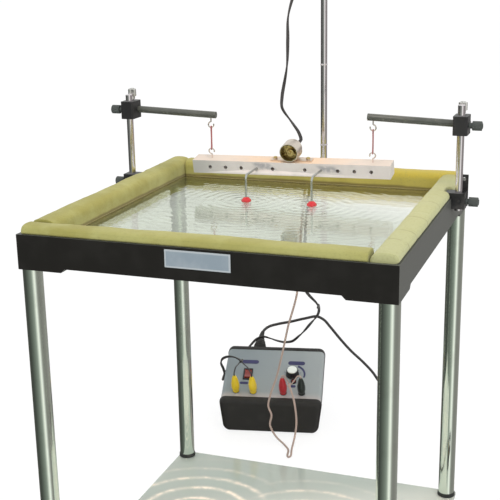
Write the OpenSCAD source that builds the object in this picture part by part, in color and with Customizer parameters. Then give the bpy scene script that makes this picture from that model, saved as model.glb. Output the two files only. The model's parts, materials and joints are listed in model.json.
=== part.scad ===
// Ripple tank: a shallow glass-bottomed wave tank on four legs over a white viewing board, with
// foam beaches, a wave beam hung on rubber bands from two height-set arms, a lamp on a rear rod
// and a bench control unit. Z is up; the origin is under the middle of the viewing board.

/* [Tank] */
// Outer side of the square tank frame
tank_w = 480; // [440:5:520]
// Height of the tank rim above the table
rim_z = 527; // [480:1:600]
// Height of the frame's rails
rail_h = 40; // [36:1:60]
// Thickness of the frame's outer wall
wall_t = 5; // [4:0.5:8]
// Depth from the rim to the top of the glass
rim_depth = 25; // [20:1:30]
// Thickness of the glass bottom
glass_t = 5; // [3:0.5:6]
// Width of the ledge that carries the glass
ledge_w = 22; // [15:1:30]
// Length of each corner lug along the rails
lug_len = 65; // [50:1:90]
// How far the corner lugs reach below the rails
lug_drop = 5; // [3:0.5:12]
// Width of the blank plate on the front rail
plate_w = 83; // [40:1:120]
// Height of the blank plate
plate_h = 22; // [10:1:26]

/* [Foam beaches] */
// Width of each foam strip
foam_w = 30; // [20:1:40]
// How far the foam stands above the rim
foam_rise = 12; // [5:1:20]
// Radius of the strip's top edges
foam_r = 7; // [3:0.5:9]

/* [Stand] */
// How far the square viewing board reaches past the tank frame on each side
board_over = 1; // [0:1:40]
// Thickness of the viewing board
board_t = 6; // [4:0.5:12]
// Diameter of the leg tubes
leg_d = 25; // [20:1:30]
// Wall of the leg tubes
leg_wall = 1.5; // [1:0.25:3]
// Height of the rubber ferrule under each leg
ferrule_h = 6; // [4:1:25]

/* [Posts and arms] */
// Diameter of every chromed or grey support rod
rod_d = 10; // [8:1:10]
// Gap between the frame's face and the surface of a post
post_gap = 3; // [2:0.5:6]
// Distance of the side posts behind the tank's middle
post_y = 106; // [60:1:140]
// Height of the tops of the side posts
post_top = 655; // [645:1:720]
// Height of the left arm where it passes its post
left_arm_z = 632; // [620:1:640]
// Height of the right arm where it passes its post
right_arm_z = 627; // [620:1:640]
// Tilt of both arms in their bores
arm_tilt = 2.2; // [0:0.1:2.2]
// Distance of an arm's axis behind its post's axis
arm_offset = 11.5; // [11:0.5:14]
// Width of a boss head
boss_w = 20; // [18:1:26]
// Height of a boss head
boss_h = 26; // [22:1:34]
// Length of an arm beyond its hook
arm_over = 8; // [5:1:20]

/* [Wave beam] */
// Length of the beam
beam_l = 300; // [270:5:330]
// Depth of the beam from front to back
beam_d = 25; // [20:1:32]
// Height of the beam
beam_h = 20; // [18:1:28]
// Height of the beam's middle at rest
beam_z = 554.9; // [553:0.1:557]
// Forward roll of the beam under its dippers
beam_roll = 10; // [0:0.5:12]
// Tilt of the beam along its length, right end up
beam_tilt = 1.1; // [0:0.1:2]
// Spacing of the dipper holes
hole_pitch = 24.5; // [20:0.5:26]
// Distance of a dipper ball in front of the beam
dipper_reach = 47; // [30:1:70]
// Height of the middle of a dipper ball
ball_z = 512; // [511:0.5:514]
// Diameter of a dipper ball
ball_d = 15; // [10:0.5:16]
// Diameter of the dipper wire, which sets the beam's holes too
wire_d = 3.6; // [2.5:0.1:4]
// Diameter of the motor can
motor_d = 27.5; // [24:0.5:34]
// Length of the motor can
motor_l = 26; // [22:1:34]

/* [Lamp] */
// Distance of the lamp rod to the right of the tank's middle
lamp_rod_x = 15; // [10:1:30]
// Length of the lamp rod above the lamp arm
lamp_rod_over = 40; // [25:5:90]
// Height of the lamp arm
lamp_arm_z = 1005; // [1000:1:1010]
// Diameter of the lamp hood
hood_d = 80; // [60:1:120]
// Height of the lamp hood
hood_h = 90; // [70:1:110]

/* [Control unit] */
// Width of the unit
unit_w = 186; // [150:1:220]
// Depth of the unit's base
unit_d = 130; // [120:1:160]
// Height of the panel's front edge
unit_front_h = 62; // [55:1:80]
// Height of the panel's rear edge
unit_rear_h = 123; // [100:1:130]
// Wall of the unit's case
unit_wall = 2.5; // [2:0.25:4]
// Distance of the unit's front edge behind the tank's middle
unit_y = 364; // [340:1:420]
// Sideways place of the middle of the unit's front edge
unit_x = -120; // [-140:1:-100]
// Turn of the unit on the table
unit_yaw = 12.3; // [0:0.1:20]
// Diameter of the speed dial
dial_d = 25; // [16:0.5:27]

/* [Leads] */
// Diameter of the mains lead
mains_d = 5.5; // [5:0.5:7]
// Diameter over the motor's twin lead
motor_lead_d = 5; // [4:0.1:5.2]
// Diameter over the lamp's lead
lead_d = 3.6; // [2.4:0.1:3.8]

/* [Hidden] */

$fn = 48;
EPS = 0.01;
half_w = tank_w / 2;
board_w = tank_w + 2 * board_over;
inner_w = half_w - wall_t;
glass_top = rim_z - rim_depth;
glass_z = glass_top - glass_t;
rail_z = rim_z - rail_h;
lug_z = rail_z - lug_drop;
leg_c = half_w - leg_d / 2;
post_x = half_w + post_gap + rod_d / 2;
run_clear = 0.06;
seat_clear = 0.2;
soft_clear = 0.3;

// The rod clamps
clamp_w = 22;
clamp_top = rim_z + 8;
clamp_bottom = rim_z - 14;
jaw_t = 4;
jaw_drop = 12;
thumb_d = 13;
thumb_l = 14;
thumb_neck_d = 8;
screw_d = 5;
ear_w = 11;
ear_t = 3;
ear_top = rim_z + 30;
ear_hole_d = 5;

// The wave beam's hooks, bands and holes
hook_x = 5 * hole_pitch;
hook_r = 4.2;
hook_wire_d = 2;
hook_rise = 10.5;
hook_drop = 14.6;
hook_seat = 6;
band_d = 1.4;
band_r = hook_wire_d / 2 + band_d / 2 + 0.15;
beam_x = 1.5;
hole_d = wire_d + 0.1;
ring_up = beam_h / 2 + hook_rise + hook_r;
beam_y = post_y + arm_offset + ring_up * sin(beam_roll);
hole_steps = [-5, -4, -3, -2, -1, 1, 2, 3, 4, 5];
dipper_step = 2;
motor_x = 2;
motor_axis_z = beam_h / 2 + motor_d / 2 + 1.5;
shaft_d = 2.4;

// The control unit
unit_slope = atan2(unit_rear_h - unit_front_h, unit_d);
panel_t = 2;
unit_foot_h = 3;
bezel_t = 9;
panel_l = (unit_d - 2 * bezel_t) / cos(unit_slope) - panel_t * tan(unit_slope) - seat_clear;
rocker_at = [-48, 67.8];
rocker_size = [13, 22, 9];
dial_at = [36, 70.5];
dial_h = 15;
lamp_at = [39.5, 52.5];
motor_plug_at = [[-65.7, 25.9], [-33.3, 24.7]];
lamp_plug_at = [[22.7, 24.5], [56.6, 25.2]];
plug_d = 12;
plug_l = 38;
plug_pin_d = 4;
plug_pin_l = 12;
gland_at = [-37, 107];
gland_d = 13;
gland_l = 12;
transformer_at = [-30, unit_d / 2 + 5];
core_size = [48, 40, 42];
winding_size = [36, 64, 26];
winding_lift = 8;
circuit_size = [60, 90, 3];
circuit_gap = 16;

// The lamp
hood_wall = 1.5;
hood_y = 0;
neck_w = 22;
hood_gland_drop = 19;
holder_d = 28;
holder_h = 26;
bulb_d = 24;
lamp_boss_x = lamp_rod_x - arm_offset;

// Routes of the leads, from the part outwards
motor_route = [
    [10.9, 128.1, 588.4], [10.9, 131.5, 589.2], [12.5, 135.5, 592.5], [9, 137, 602],
    [-2, 138, 617], [-21, 149, 638], [-22.5, 156, 653], [-18, 166, 696], [-19, 174, 735],
    [-21, 182, 764], [-14, 192, 800], [-4, 218, 843], [2, 247, 857], [8.5, 262, 840],
    [11.7, 260.2, 810], [11.7, 260.2, 552], [-1, 268, 525], [-14, 266, 475], [-21, 263, 380],
    [-20, 264, 318], [-7, 279, 294], [-16, 322, 270], [-27, 364, 260], [-42, 412, 226],
    [-69, 452, 190], [-100.4, 489, 151.6], [-123.6, 506.5, 129.5], [-139.7, 510.5, 125],
    [-153, 511, 126], [-167.7, 509.5, 130], [-180.2, 507, 133], [-193, 505.5, 128],
    [-213.8, 503.2, 105], [-235.4, 494.4, 80], [-250.5, 478.8, 62], [-250.5, 460.4, 54],
    [-243.2, 447.7, 60], [-237.1, 438.8, 73], [-235.3, 427.9, 90], [-235.1, 415.7, 107],
    [-225.8, 405.4, 121], [-209.7, 399.7, 128.5], [-195.2, 397.8, 127.5],
    [-186.5, 396.6, 123.3]
];
lamp_route = [
    [3.5, 39.6, 975], [3.5, 47, 975], [0, 75, 968], [-18, 170, 932], [-22, 210, 918],
    [-14, 250, 898], [3, 266, 876], [13, 258, 853], [13.1, 255, 832], [13.1, 255, 551],
    [9, 257, 543], [0, 261.5, 533], [-8, 264, 519], [-18, 265, 495], [-31, 262, 360], [-35, 263, 312],
    [-47, 275, 275], [-57, 286, 249], [-81, 314, 170], [-95.2, 330, 128], [-108.7, 335, 90],
    [-112.8, 334.9, 68], [-107, 335, 52], [-109.6, 333.5, 33], [-99, 332.5, 13],
    [-78.1, 321, 3.5], [-66.7, 307.1, 2.2], [-62.5, 290, 2.2], [-60.5, 283, 2.2],
    [-58, 280, 2.2], [-55.7, 283, 2.2], [-56, 290, 2.2], [-60.3, 306, 2.2],
    [-63, 322, 5], [-64.4, 338, 13], [-63.2, 344.7, 34], [-65.1, 346.3, 62.5],
    [-70.5, 351.5, 82], [-76.5, 358, 92], [-82, 366.5, 96.5], [-85.3, 374.9, 96.7]
];
mains_route = [
    [-185.3, 491, 107], [-187.3, 500.5, 107.5], [-190.2, 514, 112], [-192.5, 527, 121],
    [-193.5, 542, 130], [-187.5, 559, 135], [-172, 568, 139], [-148, 575, 144],
    [-119.5, 584, 151], [-95.6, 591.4, 155], [-84, 596, 148], [-72, 601.6, 132],
    [-53.9, 609.7, 106], [-35, 618, 81], [-8, 626.3, 53], [9, 631, 33], [22, 633, 14],
    [32, 629, 5], [43, 611, 2.8], [58, 560, 2.8], [113, 305, 2.8], [121, 266, 3.3], [126, 244, 9.1], [133, 212, 8.8],
    [163, 96, 8.8], [190, 48, 8.8], [224, 20, 8.8], [243, 14.5, 8.8], [262, 13.6, 3.3],
    [284, 13.6, 2.75], [350, 13.6, 2.75]
];
motor_join = motor_route[len(motor_route) - 1];
lamp_join = lamp_route[len(lamp_route) - 1];

// The put-away coil of the mains lead
coil_pitch = 7.2;
coil_layer = 6.4;
coil_turns = 2;
coil_r = 39.6;
coil_c = [350, 13.6 + coil_r, mains_d / 2];
coil_steps = 24;
coil_tail = 46;
mains_plug_w = 48;
mains_plug_l = 46;

// ---------------------------------------------------------------- helpers

// Unit vector along v
function unit(v) = v / norm(v);

// Directions along a list of points
function headings(p) = [
    for (i = [0 : len(p) - 1])
        unit(p[min(i + 1, len(p) - 1)] - p[max(i - 1, 0)])
];

// A sideways vector carried along the headings with no twist
function carried(t, u, i = 0) =
    i == len(t) ? [] :
    let (w = unit(u - (u * t[i]) * t[i]))
    concat([w], carried(t, w, i + 1));

// A round tube of diameter d swept along the points p
module tube(p, d, sides = 8) {
    t = headings(p);
    side = abs(t[0].z) > 0.9 ? [1, 0, 0] : [0, 0, 1];
    u = carried(t, side);
    n = len(p);
    rings = [
        for (i = [0 : n - 1], k = [0 : sides - 1])
            let (a = 360 * (k + 0.5) / sides)
            p[i] + d / 2 * (cos(a) * u[i] + sin(a) * cross(t[i], u[i]))
    ];
    walls = [
        for (i = [0 : n - 2], k = [0 : sides - 1])
            let (a = i * sides + k, b = i * sides + (k + 1) % sides)
            each [[a, a + sides, b + sides], [a, b + sides, b]]
    ];
    caps = [
        for (k = [1 : sides - 2])
            each [[0, k, k + 1], [(n - 1) * sides, (n - 1) * sides + k + 1, (n - 1) * sides + k]]
    ];
    polyhedron(rings, concat(walls, caps), convexity = 10);
}

// A bar of section profile points, run along X and centred
module bar_x(length) {
    rotate([90, 0, 90])
        linear_extrude(length, center = true)
            children();
}

// A cylinder along X, and one along Y
module rod_x(d, length, center = false) {
    rotate([0, 90, 0])
        cylinder(d = d, h = length, center = center);
}

module rod_y(d, length, center = false) {
    rotate([-90, 0, 0])
        cylinder(d = d, h = length, center = center);
}

// A rectangle with round corners
module round_rect(size, r) {
    hull()
        for (x = [-1, 1], y = [-1, 1])
            translate([x * (size.x / 2 - r), y * (size.y / 2 - r)])
                circle(r, $fn = 32);
}

// A rectangle with cut corners
module cut_rect(size, c) {
    polygon([
        [-size.x / 2 + c, -size.y / 2], [size.x / 2 - c, -size.y / 2],
        [size.x / 2, -size.y / 2 + c], [size.x / 2, size.y / 2 - c],
        [size.x / 2 - c, size.y / 2], [-size.x / 2 + c, size.y / 2],
        [-size.x / 2, size.y / 2 - c], [-size.x / 2, -size.y / 2 + c]
    ]);
}

module at_corners() {
    for (x = [-1, 1], y = [-1, 1])
        translate([x * leg_c, y * leg_c, 0])
            mirror([x < 0 ? 1 : 0, 0, 0])
                mirror([0, y < 0 ? 1 : 0, 0])
                    children();
}

// Places on the moving sub-assemblies
module at_beam() {
    translate([beam_x, beam_y, beam_z])
        rotate([0, -beam_tilt, 0])
            rotate([beam_roll, 0, 0])
                children();
}

module at_left_boss() {
    translate([-post_x, post_y, left_arm_z])
        children();
}

module at_right_boss() {
    translate([post_x, post_y, right_arm_z])
        children();
}

module at_unit() {
    translate([unit_x, unit_y, 0])
        rotate([0, 0, unit_yaw])
            children();
}

module at_panel(at) {
    at_unit()
        translate([0, 0, unit_front_h])
            rotate([unit_slope, 0, 0])
                translate([at[0], at[1], 0])
                    children();
}

// Where a point of the panel lies in the part's frame, h above the panel
function panel_point(at, h) =
    let (
        y = at[1] * cos(unit_slope) - h * sin(unit_slope),
        z = unit_front_h + at[1] * sin(unit_slope) + h * cos(unit_slope)
    )
    [
        unit_x + at[0] * cos(unit_yaw) - y * sin(unit_yaw),
        unit_y + at[0] * sin(unit_yaw) + y * cos(unit_yaw),
        z
    ];

// ---------------------------------------------------------------- stand

module screen_board() {
    color("white")
        translate([0, 0, board_t / 2])
            cube([board_w, board_w, board_t], center = true);
}

leg_foot_t = 2;
leg_z = board_t + leg_foot_t;
stud_d = 8;
stud_up = 12;
plug_depth = 18;

module legs() {
    color("silver")
        at_corners()
            translate([0, 0, leg_z])
                difference() {
                    cylinder(d = leg_d, h = lug_z - leg_z);
                    translate([0, 0, -EPS])
                        cylinder(d = leg_d - 2 * leg_wall, h = lug_z - leg_z + 2 * EPS);
                }
}

module leg_ferrules() {
    color("dimgray")
        at_corners()
            translate([0, 0, board_t])
                difference() {
                    cylinder(d = leg_d + 3, h = ferrule_h);
                    translate([0, 0, leg_foot_t])
                        cylinder(d = leg_d + 2 * run_clear, h = ferrule_h);
                }
}

module leg_studs() {
    color("gainsboro")
        at_corners() {
            translate([0, 0, lug_z - plug_depth])
                cylinder(d = leg_d - 2 * leg_wall - 2 * run_clear, h = plug_depth - seat_clear);
            translate([0, 0, lug_z - seat_clear - EPS])
                cylinder(d = stud_d, h = stud_up);
        }
}

// ---------------------------------------------------------------- tank

// One corner lug: a block over the leg with two chamfered fingers under the rails
module corner_lug() {
    out = leg_d / 2;
    finger_t = ledge_w;
    translate([out, out, lug_z])
        mirror([1, 0, 0])
            mirror([0, 1, 0]) {
                cube([leg_d + 12, leg_d + 12, rail_h - rim_depth - glass_t + lug_drop - seat_clear]);
                for (turn = [0, 1])
                    mirror([turn, -turn, 0])
                        translate([0, finger_t, 0])
                            rotate([90, 0, 0])
                                linear_extrude(finger_t)
                                    polygon([
                                        [0, 0], [lug_len - lug_drop, 0],
                                        [lug_len, lug_drop + EPS], [0, lug_drop + EPS]
                                    ]);
            }
}

module tank_frame() {
    color([0.16, 0.15, 0.15])
        difference() {
            union() {
                translate([0, 0, rail_z + rail_h / 2])
                    cube([tank_w, tank_w, rail_h], center = true);
                at_corners()
                    corner_lug();
            }
            translate([0, 0, glass_z + rail_h / 2])
                cube([2 * inner_w, 2 * inner_w, rail_h], center = true);
            difference() {
                translate([0, 0, glass_z - rail_h / 2 + EPS])
                    cube([
                        2 * (inner_w - ledge_w), 2 * (inner_w - ledge_w), rail_h
                    ], center = true);
                at_corners()
                    corner_lug();
            }
            at_corners()
                translate([0, 0, lug_z - EPS])
                    cylinder(d = stud_d + 2 * run_clear, h = stud_up + 1);
        }
}

// The clamps stand at the left, right and rear rails; the front has none
module clamp_place(k) {
    if (k == 0)
        translate([-half_w, post_y, 0])
            rotate([0, 0, 180])
                children();
    if (k == 1)
        translate([half_w, post_y, 0])
            children();
    if (k == 2)
        translate([lamp_rod_x, half_w, 0])
            rotate([0, 0, 90])
                children();
}

clamp_screw_z = rim_z - 5;

module glass_bottom() {
    color([0.75, 0.85, 0.82, 0.4])
        translate([0, 0, glass_z + glass_t / 2])
            cube([
                2 * (inner_w - seat_clear), 2 * (inner_w - seat_clear), glass_t
            ], center = true);
}

// A foam strip from x = 0 to the given length, its outer face at y = 0
module foam_strip(length) {
    h = rim_z + foam_rise - glass_top - soft_clear;
    w = foam_w;
    translate([0, 0, glass_top + soft_clear])
        rotate([90, 0, 90])
            linear_extrude(length)
                union() {
                    translate([foam_r, 0])
                        square([w - 2 * foam_r, h]);
                    square([w, h - foam_r]);
                    for (x = [foam_r, w - foam_r])
                        translate([x, h - foam_r])
                            circle(foam_r);
                }
}

// The strips follow each other round the tank, each butting on the next
module foam_side(k) {
    long = 2 * inner_w - foam_w - 3 * soft_clear;
    color([0.86, 0.84, 0.5])
        difference() {
            rotate([0, 0, 90 * k])
                translate([-inner_w + soft_clear, -inner_w + soft_clear, 0])
                    foam_strip(long);
            for (c = [0 : 2])
                clamp_place(c)
                    translate([-wall_t - jaw_t - 1, -clamp_w / 2 - 1, clamp_bottom - 2])
                        cube([jaw_t + wall_t + 2, clamp_w + 2, foam_rise + 60]);
        }
}

module foam_front() { foam_side(0); }
module foam_right() { foam_side(1); }
module foam_rear() { foam_side(2); }
module foam_left() { foam_side(3); }

module blank_plate() {
    color([0.62, 0.67, 0.72])
        translate([2, -half_w - 0.5, rim_z - 14])
            cube([plate_w, 1, plate_h], center = true);
}

// ---------------------------------------------------------------- clamps

// The clamp's body hooks over the rail, with the rod's bore outside it
module clamp_body() {
    bore_x = post_gap + rod_d / 2;
    out = bore_x + rod_d / 2 + 5;
    difference() {
        union() {
            translate([-wall_t - jaw_t, -clamp_w / 2, rim_z + seat_clear])
                cube([wall_t + jaw_t + out, clamp_w, clamp_top - rim_z - seat_clear]);
            translate([seat_clear, -clamp_w / 2, clamp_bottom])
                cube([out - seat_clear, clamp_w, clamp_top - clamp_bottom]);
            translate([-wall_t - jaw_t, -clamp_w / 2, rim_z - jaw_drop])
                cube([jaw_t - seat_clear, clamp_w, clamp_top - rim_z + jaw_drop]);
        }
        translate([bore_x, 0, clamp_bottom - 1])
            cylinder(d = rod_d + 2 * run_clear, h = clamp_top - clamp_bottom + 2);
        translate([bore_x, 0, clamp_screw_z])
            rod_x(screw_d + 0.3, 30);
    }
}

// The front face of each side clamp has a bright locking screw
module clamp_face_screw(side) {
    translate([post_gap + rod_d / 2 + 3, side * (clamp_w / 2 + EPS), rim_z - 3])
        rotate([side > 0 ? -90 : 90, 0, 0])
            cylinder(d = 5.5, h = 1.8);
}

module left_clamp() {
    color([0.1, 0.1, 0.11])
        clamp_place(0) {
            clamp_body();
            clamp_face_screw(1);
        }
}

module right_clamp() {
    bore_x = post_gap + rod_d / 2;
    color([0.1, 0.1, 0.11])
        clamp_place(1) {
            clamp_body();
            clamp_face_screw(-1);
            // The upright ear behind the post, with a hole near its top
            translate([bore_x, clamp_w / 2 - EPS, clamp_bottom])
                difference() {
                    cube([ear_w, ear_t, ear_top - clamp_bottom]);
                    translate([ear_w / 2, -1, ear_top - clamp_bottom - 6])
                        rod_y(ear_hole_d, ear_t + 2);
                }
        }
}

module rear_clamp() {
    color([0.1, 0.1, 0.11])
        clamp_place(2)
            clamp_body();
}

// A thumbscrew along +X: its tip at 0, its neck and head beyond the seat
module thumbscrew(seat, neck = 4) {
    rod_x(screw_d, seat + neck);
    translate([seat + seat_clear, 0, 0])
        rod_x(thumb_neck_d, neck);
    translate([seat + seat_clear + neck - EPS, 0, 0])
        rod_x(thumb_d, thumb_l);
}

module clamp_thumb(k) {
    bore_x = post_gap + rod_d / 2;
    color("dimgray")
        clamp_place(k)
            translate([bore_x + rod_d / 2 + seat_clear, 0, clamp_screw_z])
                thumbscrew(5 - seat_clear);
}

module left_clamp_screw() { clamp_thumb(0); }
module right_clamp_screw() { clamp_thumb(1); }
module rear_clamp_screw() { clamp_thumb(2); }

// ---------------------------------------------------------------- posts

// An upright rod with a slight chamfer at its top
module post(bottom, top) {
    translate([0, 0, bottom])
        cylinder(d = rod_d, h = top - bottom - 0.8);
    translate([0, 0, top - 0.8 - EPS])
        cylinder(d1 = rod_d, d2 = rod_d - 1.6, h = 0.8);
}

module left_post() {
    color("silver")
        translate([-post_x, post_y, 0])
            post(clamp_bottom - 4, post_top);
}

module right_post() {
    color("silver")
        translate([post_x, post_y, 0])
            post(clamp_bottom - 4, post_top);
}

module lamp_rod() {
    color("silver")
        translate([lamp_rod_x, post_x, 0])
            post(clamp_bottom - 4, lamp_arm_z + lamp_rod_over);
}

// ---------------------------------------------------------------- hangers

boss_front = 10;
boss_back = arm_offset + rod_d / 2 + 4;
arm_bore_d = rod_d + 1;

module left_boss() {
    color([0.12, 0.12, 0.13])
        at_left_boss()
            boss_block(-1);
}

module right_boss() {
    color([0.12, 0.12, 0.13])
        at_right_boss()
            boss_block(1);
}

// The post runs up the front of the block, the arm crosses behind it in a slack bore
module boss_block(outer) {
    difference() {
        translate([0, (boss_back - boss_front) / 2, -boss_h / 2])
            linear_extrude(boss_h)
                cut_rect([boss_w, boss_front + boss_back], 2);
        translate([0, 0, -boss_h])
            cylinder(d = rod_d + 2 * run_clear, h = 2 * boss_h);
        translate([0, arm_offset, 0])
            rod_x(arm_bore_d, 2 * boss_w, center = true);
        rotate([0, 0, outer < 0 ? 180 : 0])
            rod_x(screw_d + 0.3, boss_w);
        translate([0, arm_offset, 0])
            cylinder(d = screw_d + 0.3, h = boss_h);
    }
}

// The post's locking screw, on the outer side of a boss
module boss_thumb(outer) {
    color("dimgray")
        rotate([0, 0, outer < 0 ? 180 : 0])
            translate([rod_d / 2 + seat_clear, 0, 0])
                thumbscrew(boss_w / 2 - rod_d / 2 - seat_clear, 5);
}

module left_boss_screw() { at_left_boss() boss_thumb(-1); }
module right_boss_screw() { at_right_boss() boss_thumb(1); }

// The arm's locking screw, standing on top of a boss
module arm_thumb() {
    tip = rod_d / 2 + seat_clear;
    color("gainsboro")
        translate([0, arm_offset, 0]) {
            translate([0, 0, tip])
                cylinder(d = screw_d, h = boss_h / 2 - tip + 7);
            translate([0, 0, boss_h / 2 + 6])
                cylinder(d = 12, h = 12);
        }
}

module left_arm_screw() { at_left_boss() arm_thumb(); }
module right_arm_screw() { at_right_boss() arm_thumb(); }

left_hook_x = beam_x - hook_x * cos(beam_tilt);
right_hook_x = beam_x + hook_x * cos(beam_tilt);
left_reach = (left_hook_x + post_x) / cos(arm_tilt);
right_reach = (post_x - right_hook_x) / cos(arm_tilt);

// An arm from its post's far side out past the hook; inward is +1 to the right
module arm(inward, reach) {
    color([0.33, 0.34, 0.35])
        translate([0, arm_offset, 0])
            rotate([0, arm_tilt, 0])
                difference() {
                    translate([inward < 0 ? -reach - arm_over : -boss_w / 2 - 1, 0, 0])
                        rod_x(rod_d, reach + arm_over + boss_w / 2 + 1);
                    translate([inward * reach, 0, 0])
                        rotate([180, -arm_tilt, 0])
                            cylinder(d = hook_wire_d + 0.2, h = rod_d);
                }
}

module left_arm() { at_left_boss() arm(1, left_reach); }
module right_arm() { at_right_boss() arm(-1, right_reach); }

// An open hook: a shank from z = 0 down to a ring centred below it
module open_hook(drop, seat, side) {
    turn = 290;
    cylinder(d = hook_wire_d, h = seat);
    translate([0, 0, -drop + hook_r])
        cylinder(d = hook_wire_d, h = drop - hook_r + EPS);
    translate([0, 0, -drop])
        rotate([90, 0, 0])
            rotate([0, 0, side > 0 ? 90 : 90 - turn])
                rotate_extrude(angle = turn)
                    translate([hook_r, 0])
                        circle(d = hook_wire_d, $fn = 24);
}

module upper_hook(x, z, side) {
    color("silver")
        translate([x, post_y + arm_offset, z])
            translate([0, 0, -rod_d / 2 + 1])
                open_hook(hook_drop - rod_d / 2 + 1, 1, side);
}

left_arm_drop = (left_hook_x + post_x) * tan(arm_tilt);
right_arm_rise = (post_x - right_hook_x) * tan(arm_tilt);

module left_hook() { upper_hook(left_hook_x, left_arm_z - left_arm_drop, 1); }
module right_hook() { upper_hook(right_hook_x, right_arm_z + right_arm_rise, -1); }

// A rubber band: two strands in the Y plane, closed round both hooks' wires
module band(x, low, high) {
    y = post_y + arm_offset;
    color([0.55, 0.35, 0.35])
        translate([x, y, 0]) {
            for (s = [-1, 1])
                translate([0, s * band_r, low])
                    cylinder(d = band_d, h = high - low, $fn = 20);
            for (end = [[low, 1], [high, -1]])
                translate([0, 0, end[0]])
                    rotate([0, 90, 0])
                        rotate([0, 0, end[1] > 0 ? -90 : 90])
                            rotate_extrude(angle = 180)
                                translate([band_r, 0])
                                    circle(d = band_d, $fn = 20);
        }
}

lower_wire_z = beam_z + ring_up * cos(beam_roll);
tilt_lift = hook_x * sin(beam_tilt);

module left_band() {
    band(
        left_hook_x, lower_wire_z - tilt_lift,
        left_arm_z - left_arm_drop - hook_drop - hook_r
    );
}

module right_band() {
    band(
        right_hook_x, lower_wire_z + tilt_lift,
        right_arm_z + right_arm_rise - hook_drop - hook_r
    );
}

// ---------------------------------------------------------------- wave beam

module beam() {
    color([0.86, 0.83, 0.78])
        at_beam()
            difference() {
                cube([beam_l, beam_d, beam_h], center = true);
                for (k = hole_steps)
                    translate([k * hole_pitch, 0, 0])
                        rod_y(hole_d, beam_d + 2, center = true);
                for (s = [-1, 1])
                    translate([s * hook_x, 0, beam_h / 2 - hook_seat])
                        cylinder(d = hook_wire_d + 0.2, h = hook_seat + 1);
            }
}

module beam_hooks() {
    color("silver")
        at_beam()
            for (s = [-1, 1])
                translate([s * hook_x, 0, beam_h / 2])
                    rotate([180, 0, s > 0 ? 180 : 0]) {
                        cylinder(d = hook_wire_d, h = hook_seat - seat_clear);
                        open_hook(hook_rise, 1, 1);
                    }
}

module motor_place() {
    at_beam()
        translate([motor_x, 0, motor_axis_z])
            children();
}

cap_back = 9;

can_back_t = 2;
motor_lead_at = [8, 6.5];

module motor_can() {
    color([0.78, 0.76, 0.72])
        motor_place()
            difference() {
                translate([0, -motor_l / 2, 0])
                    rod_y(motor_d, motor_l);
                translate([0, -motor_l / 2 - 1, 0])
                    rod_y(motor_d - 2, motor_l + 1 - can_back_t);
                translate([motor_lead_at[0], 0, motor_lead_at[1]])
                    rod_y(motor_lead_d + 1.2, motor_l);
            }
}

// The end bell inside the can's mouth, with the shaft's bearing in it
module motor_cap() {
    color([0.72, 0.56, 0.3])
        motor_place()
            difference() {
                translate([0, -motor_l / 2 + cap_back, 0])
                    union() {
                        rod_y(motor_d - 2 - 2 * run_clear, 3);
                        translate([0, -2, 0])
                            rod_y(8, 3);
                    }
                translate([0, -motor_l, 0])
                    rod_y(shaft_d + 2 * run_clear, 2 * motor_l);
            }
}

// The shaft with its eccentric weight in front and the rotor behind
module motor_shaft() {
    color([0.8, 0.62, 0.34])
        motor_place() {
            translate([0, -motor_l / 2 + 1, 0])
                rod_y(shaft_d, motor_l - 4);
            translate([0, -motor_l / 2 + 1.5, 0])
                difference() {
                    rod_y(18, 5);
                    translate([-12, -1, 2.5])
                        cube([24, 7, 12]);
                }
            translate([0, -motor_l / 2 + cap_back + 4, 0])
                rod_y(15, motor_l - cap_back - 8);
        }
}

saddle_l = 62;
saddle_d = 13;
saddle_t = 1.5;

module motor_saddle() {
    color([0.8, 0.75, 0.7])
        at_beam()
            translate([motor_x, 0, 0]) {
                difference() {
                    union() {
                        translate([0, 0, beam_h / 2 + saddle_t / 2])
                            cube([saddle_l, saddle_d, saddle_t], center = true);
                        translate([0, 0, motor_axis_z])
                            rod_y(motor_d + 3, saddle_d, center = true);
                    }
                    translate([0, 0, motor_axis_z])
                        rod_y(motor_d + 2 * run_clear, saddle_d + 2, center = true);
                    translate([0, 0, motor_axis_z + motor_d / 2 - 2])
                        cube([motor_d + 6, saddle_d + 2, motor_d], center = true);
                    translate([0, 0, beam_h / 2 - 5])
                        cube([saddle_l + 2, saddle_d + 2, 10], center = true);
                }
                for (s = [-1, 1])
                    translate([s * (saddle_l / 2 - 6), 0, beam_h / 2 + saddle_t - EPS])
                        cylinder(d = 6, h = 2);
            }
}

// A bent wire from the beam's hole forward and down to its ball
dipper_y = beam_y - beam_d / 2 * cos(beam_roll) - dipper_reach;

function hole_point(side) =
    let (x = side * dipper_step * hole_pitch)
    [
        beam_x + x * cos(beam_tilt),
        beam_y,
        beam_z + x * sin(beam_tilt)
    ];

arm_d = wire_d - 0.2;
dip_bend_r = 7;
dip_lead_out = 1;

// Where the dipper wire leaves its hole and turns level
function dipper_kink(side) =
    hole_point(side) - (beam_d / 2 + dip_lead_out) * [0, cos(beam_roll), sin(beam_roll)];

module dipper(side) {
    h = hole_point(side);
    kink = dipper_kink(side);
    turn_y = dipper_y + dip_bend_r;
    foot_z = ball_z + ball_d / 2 - 4;
    color("silver") {
        translate(h)
            rotate([beam_roll, 0, 0])
                translate([0, -beam_d / 2 - dip_lead_out, 0])
                    rod_y(wire_d, beam_d + dip_lead_out - 1);
        translate([h.x, turn_y, kink.z])
            rod_y(arm_d, kink.y + 1 - turn_y);
        translate([h.x, turn_y, kink.z - dip_bend_r])
            rotate([90, 0, -90])
                rotate_extrude(angle = 90)
                    translate([dip_bend_r, 0])
                        circle(d = arm_d, $fn = 32);
        translate([h.x, dipper_y, foot_z])
            cylinder(d = arm_d, h = kink.z - dip_bend_r - foot_z);
    }
}

module left_dipper() { dipper(-1); }
module right_dipper() { dipper(1); }

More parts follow.
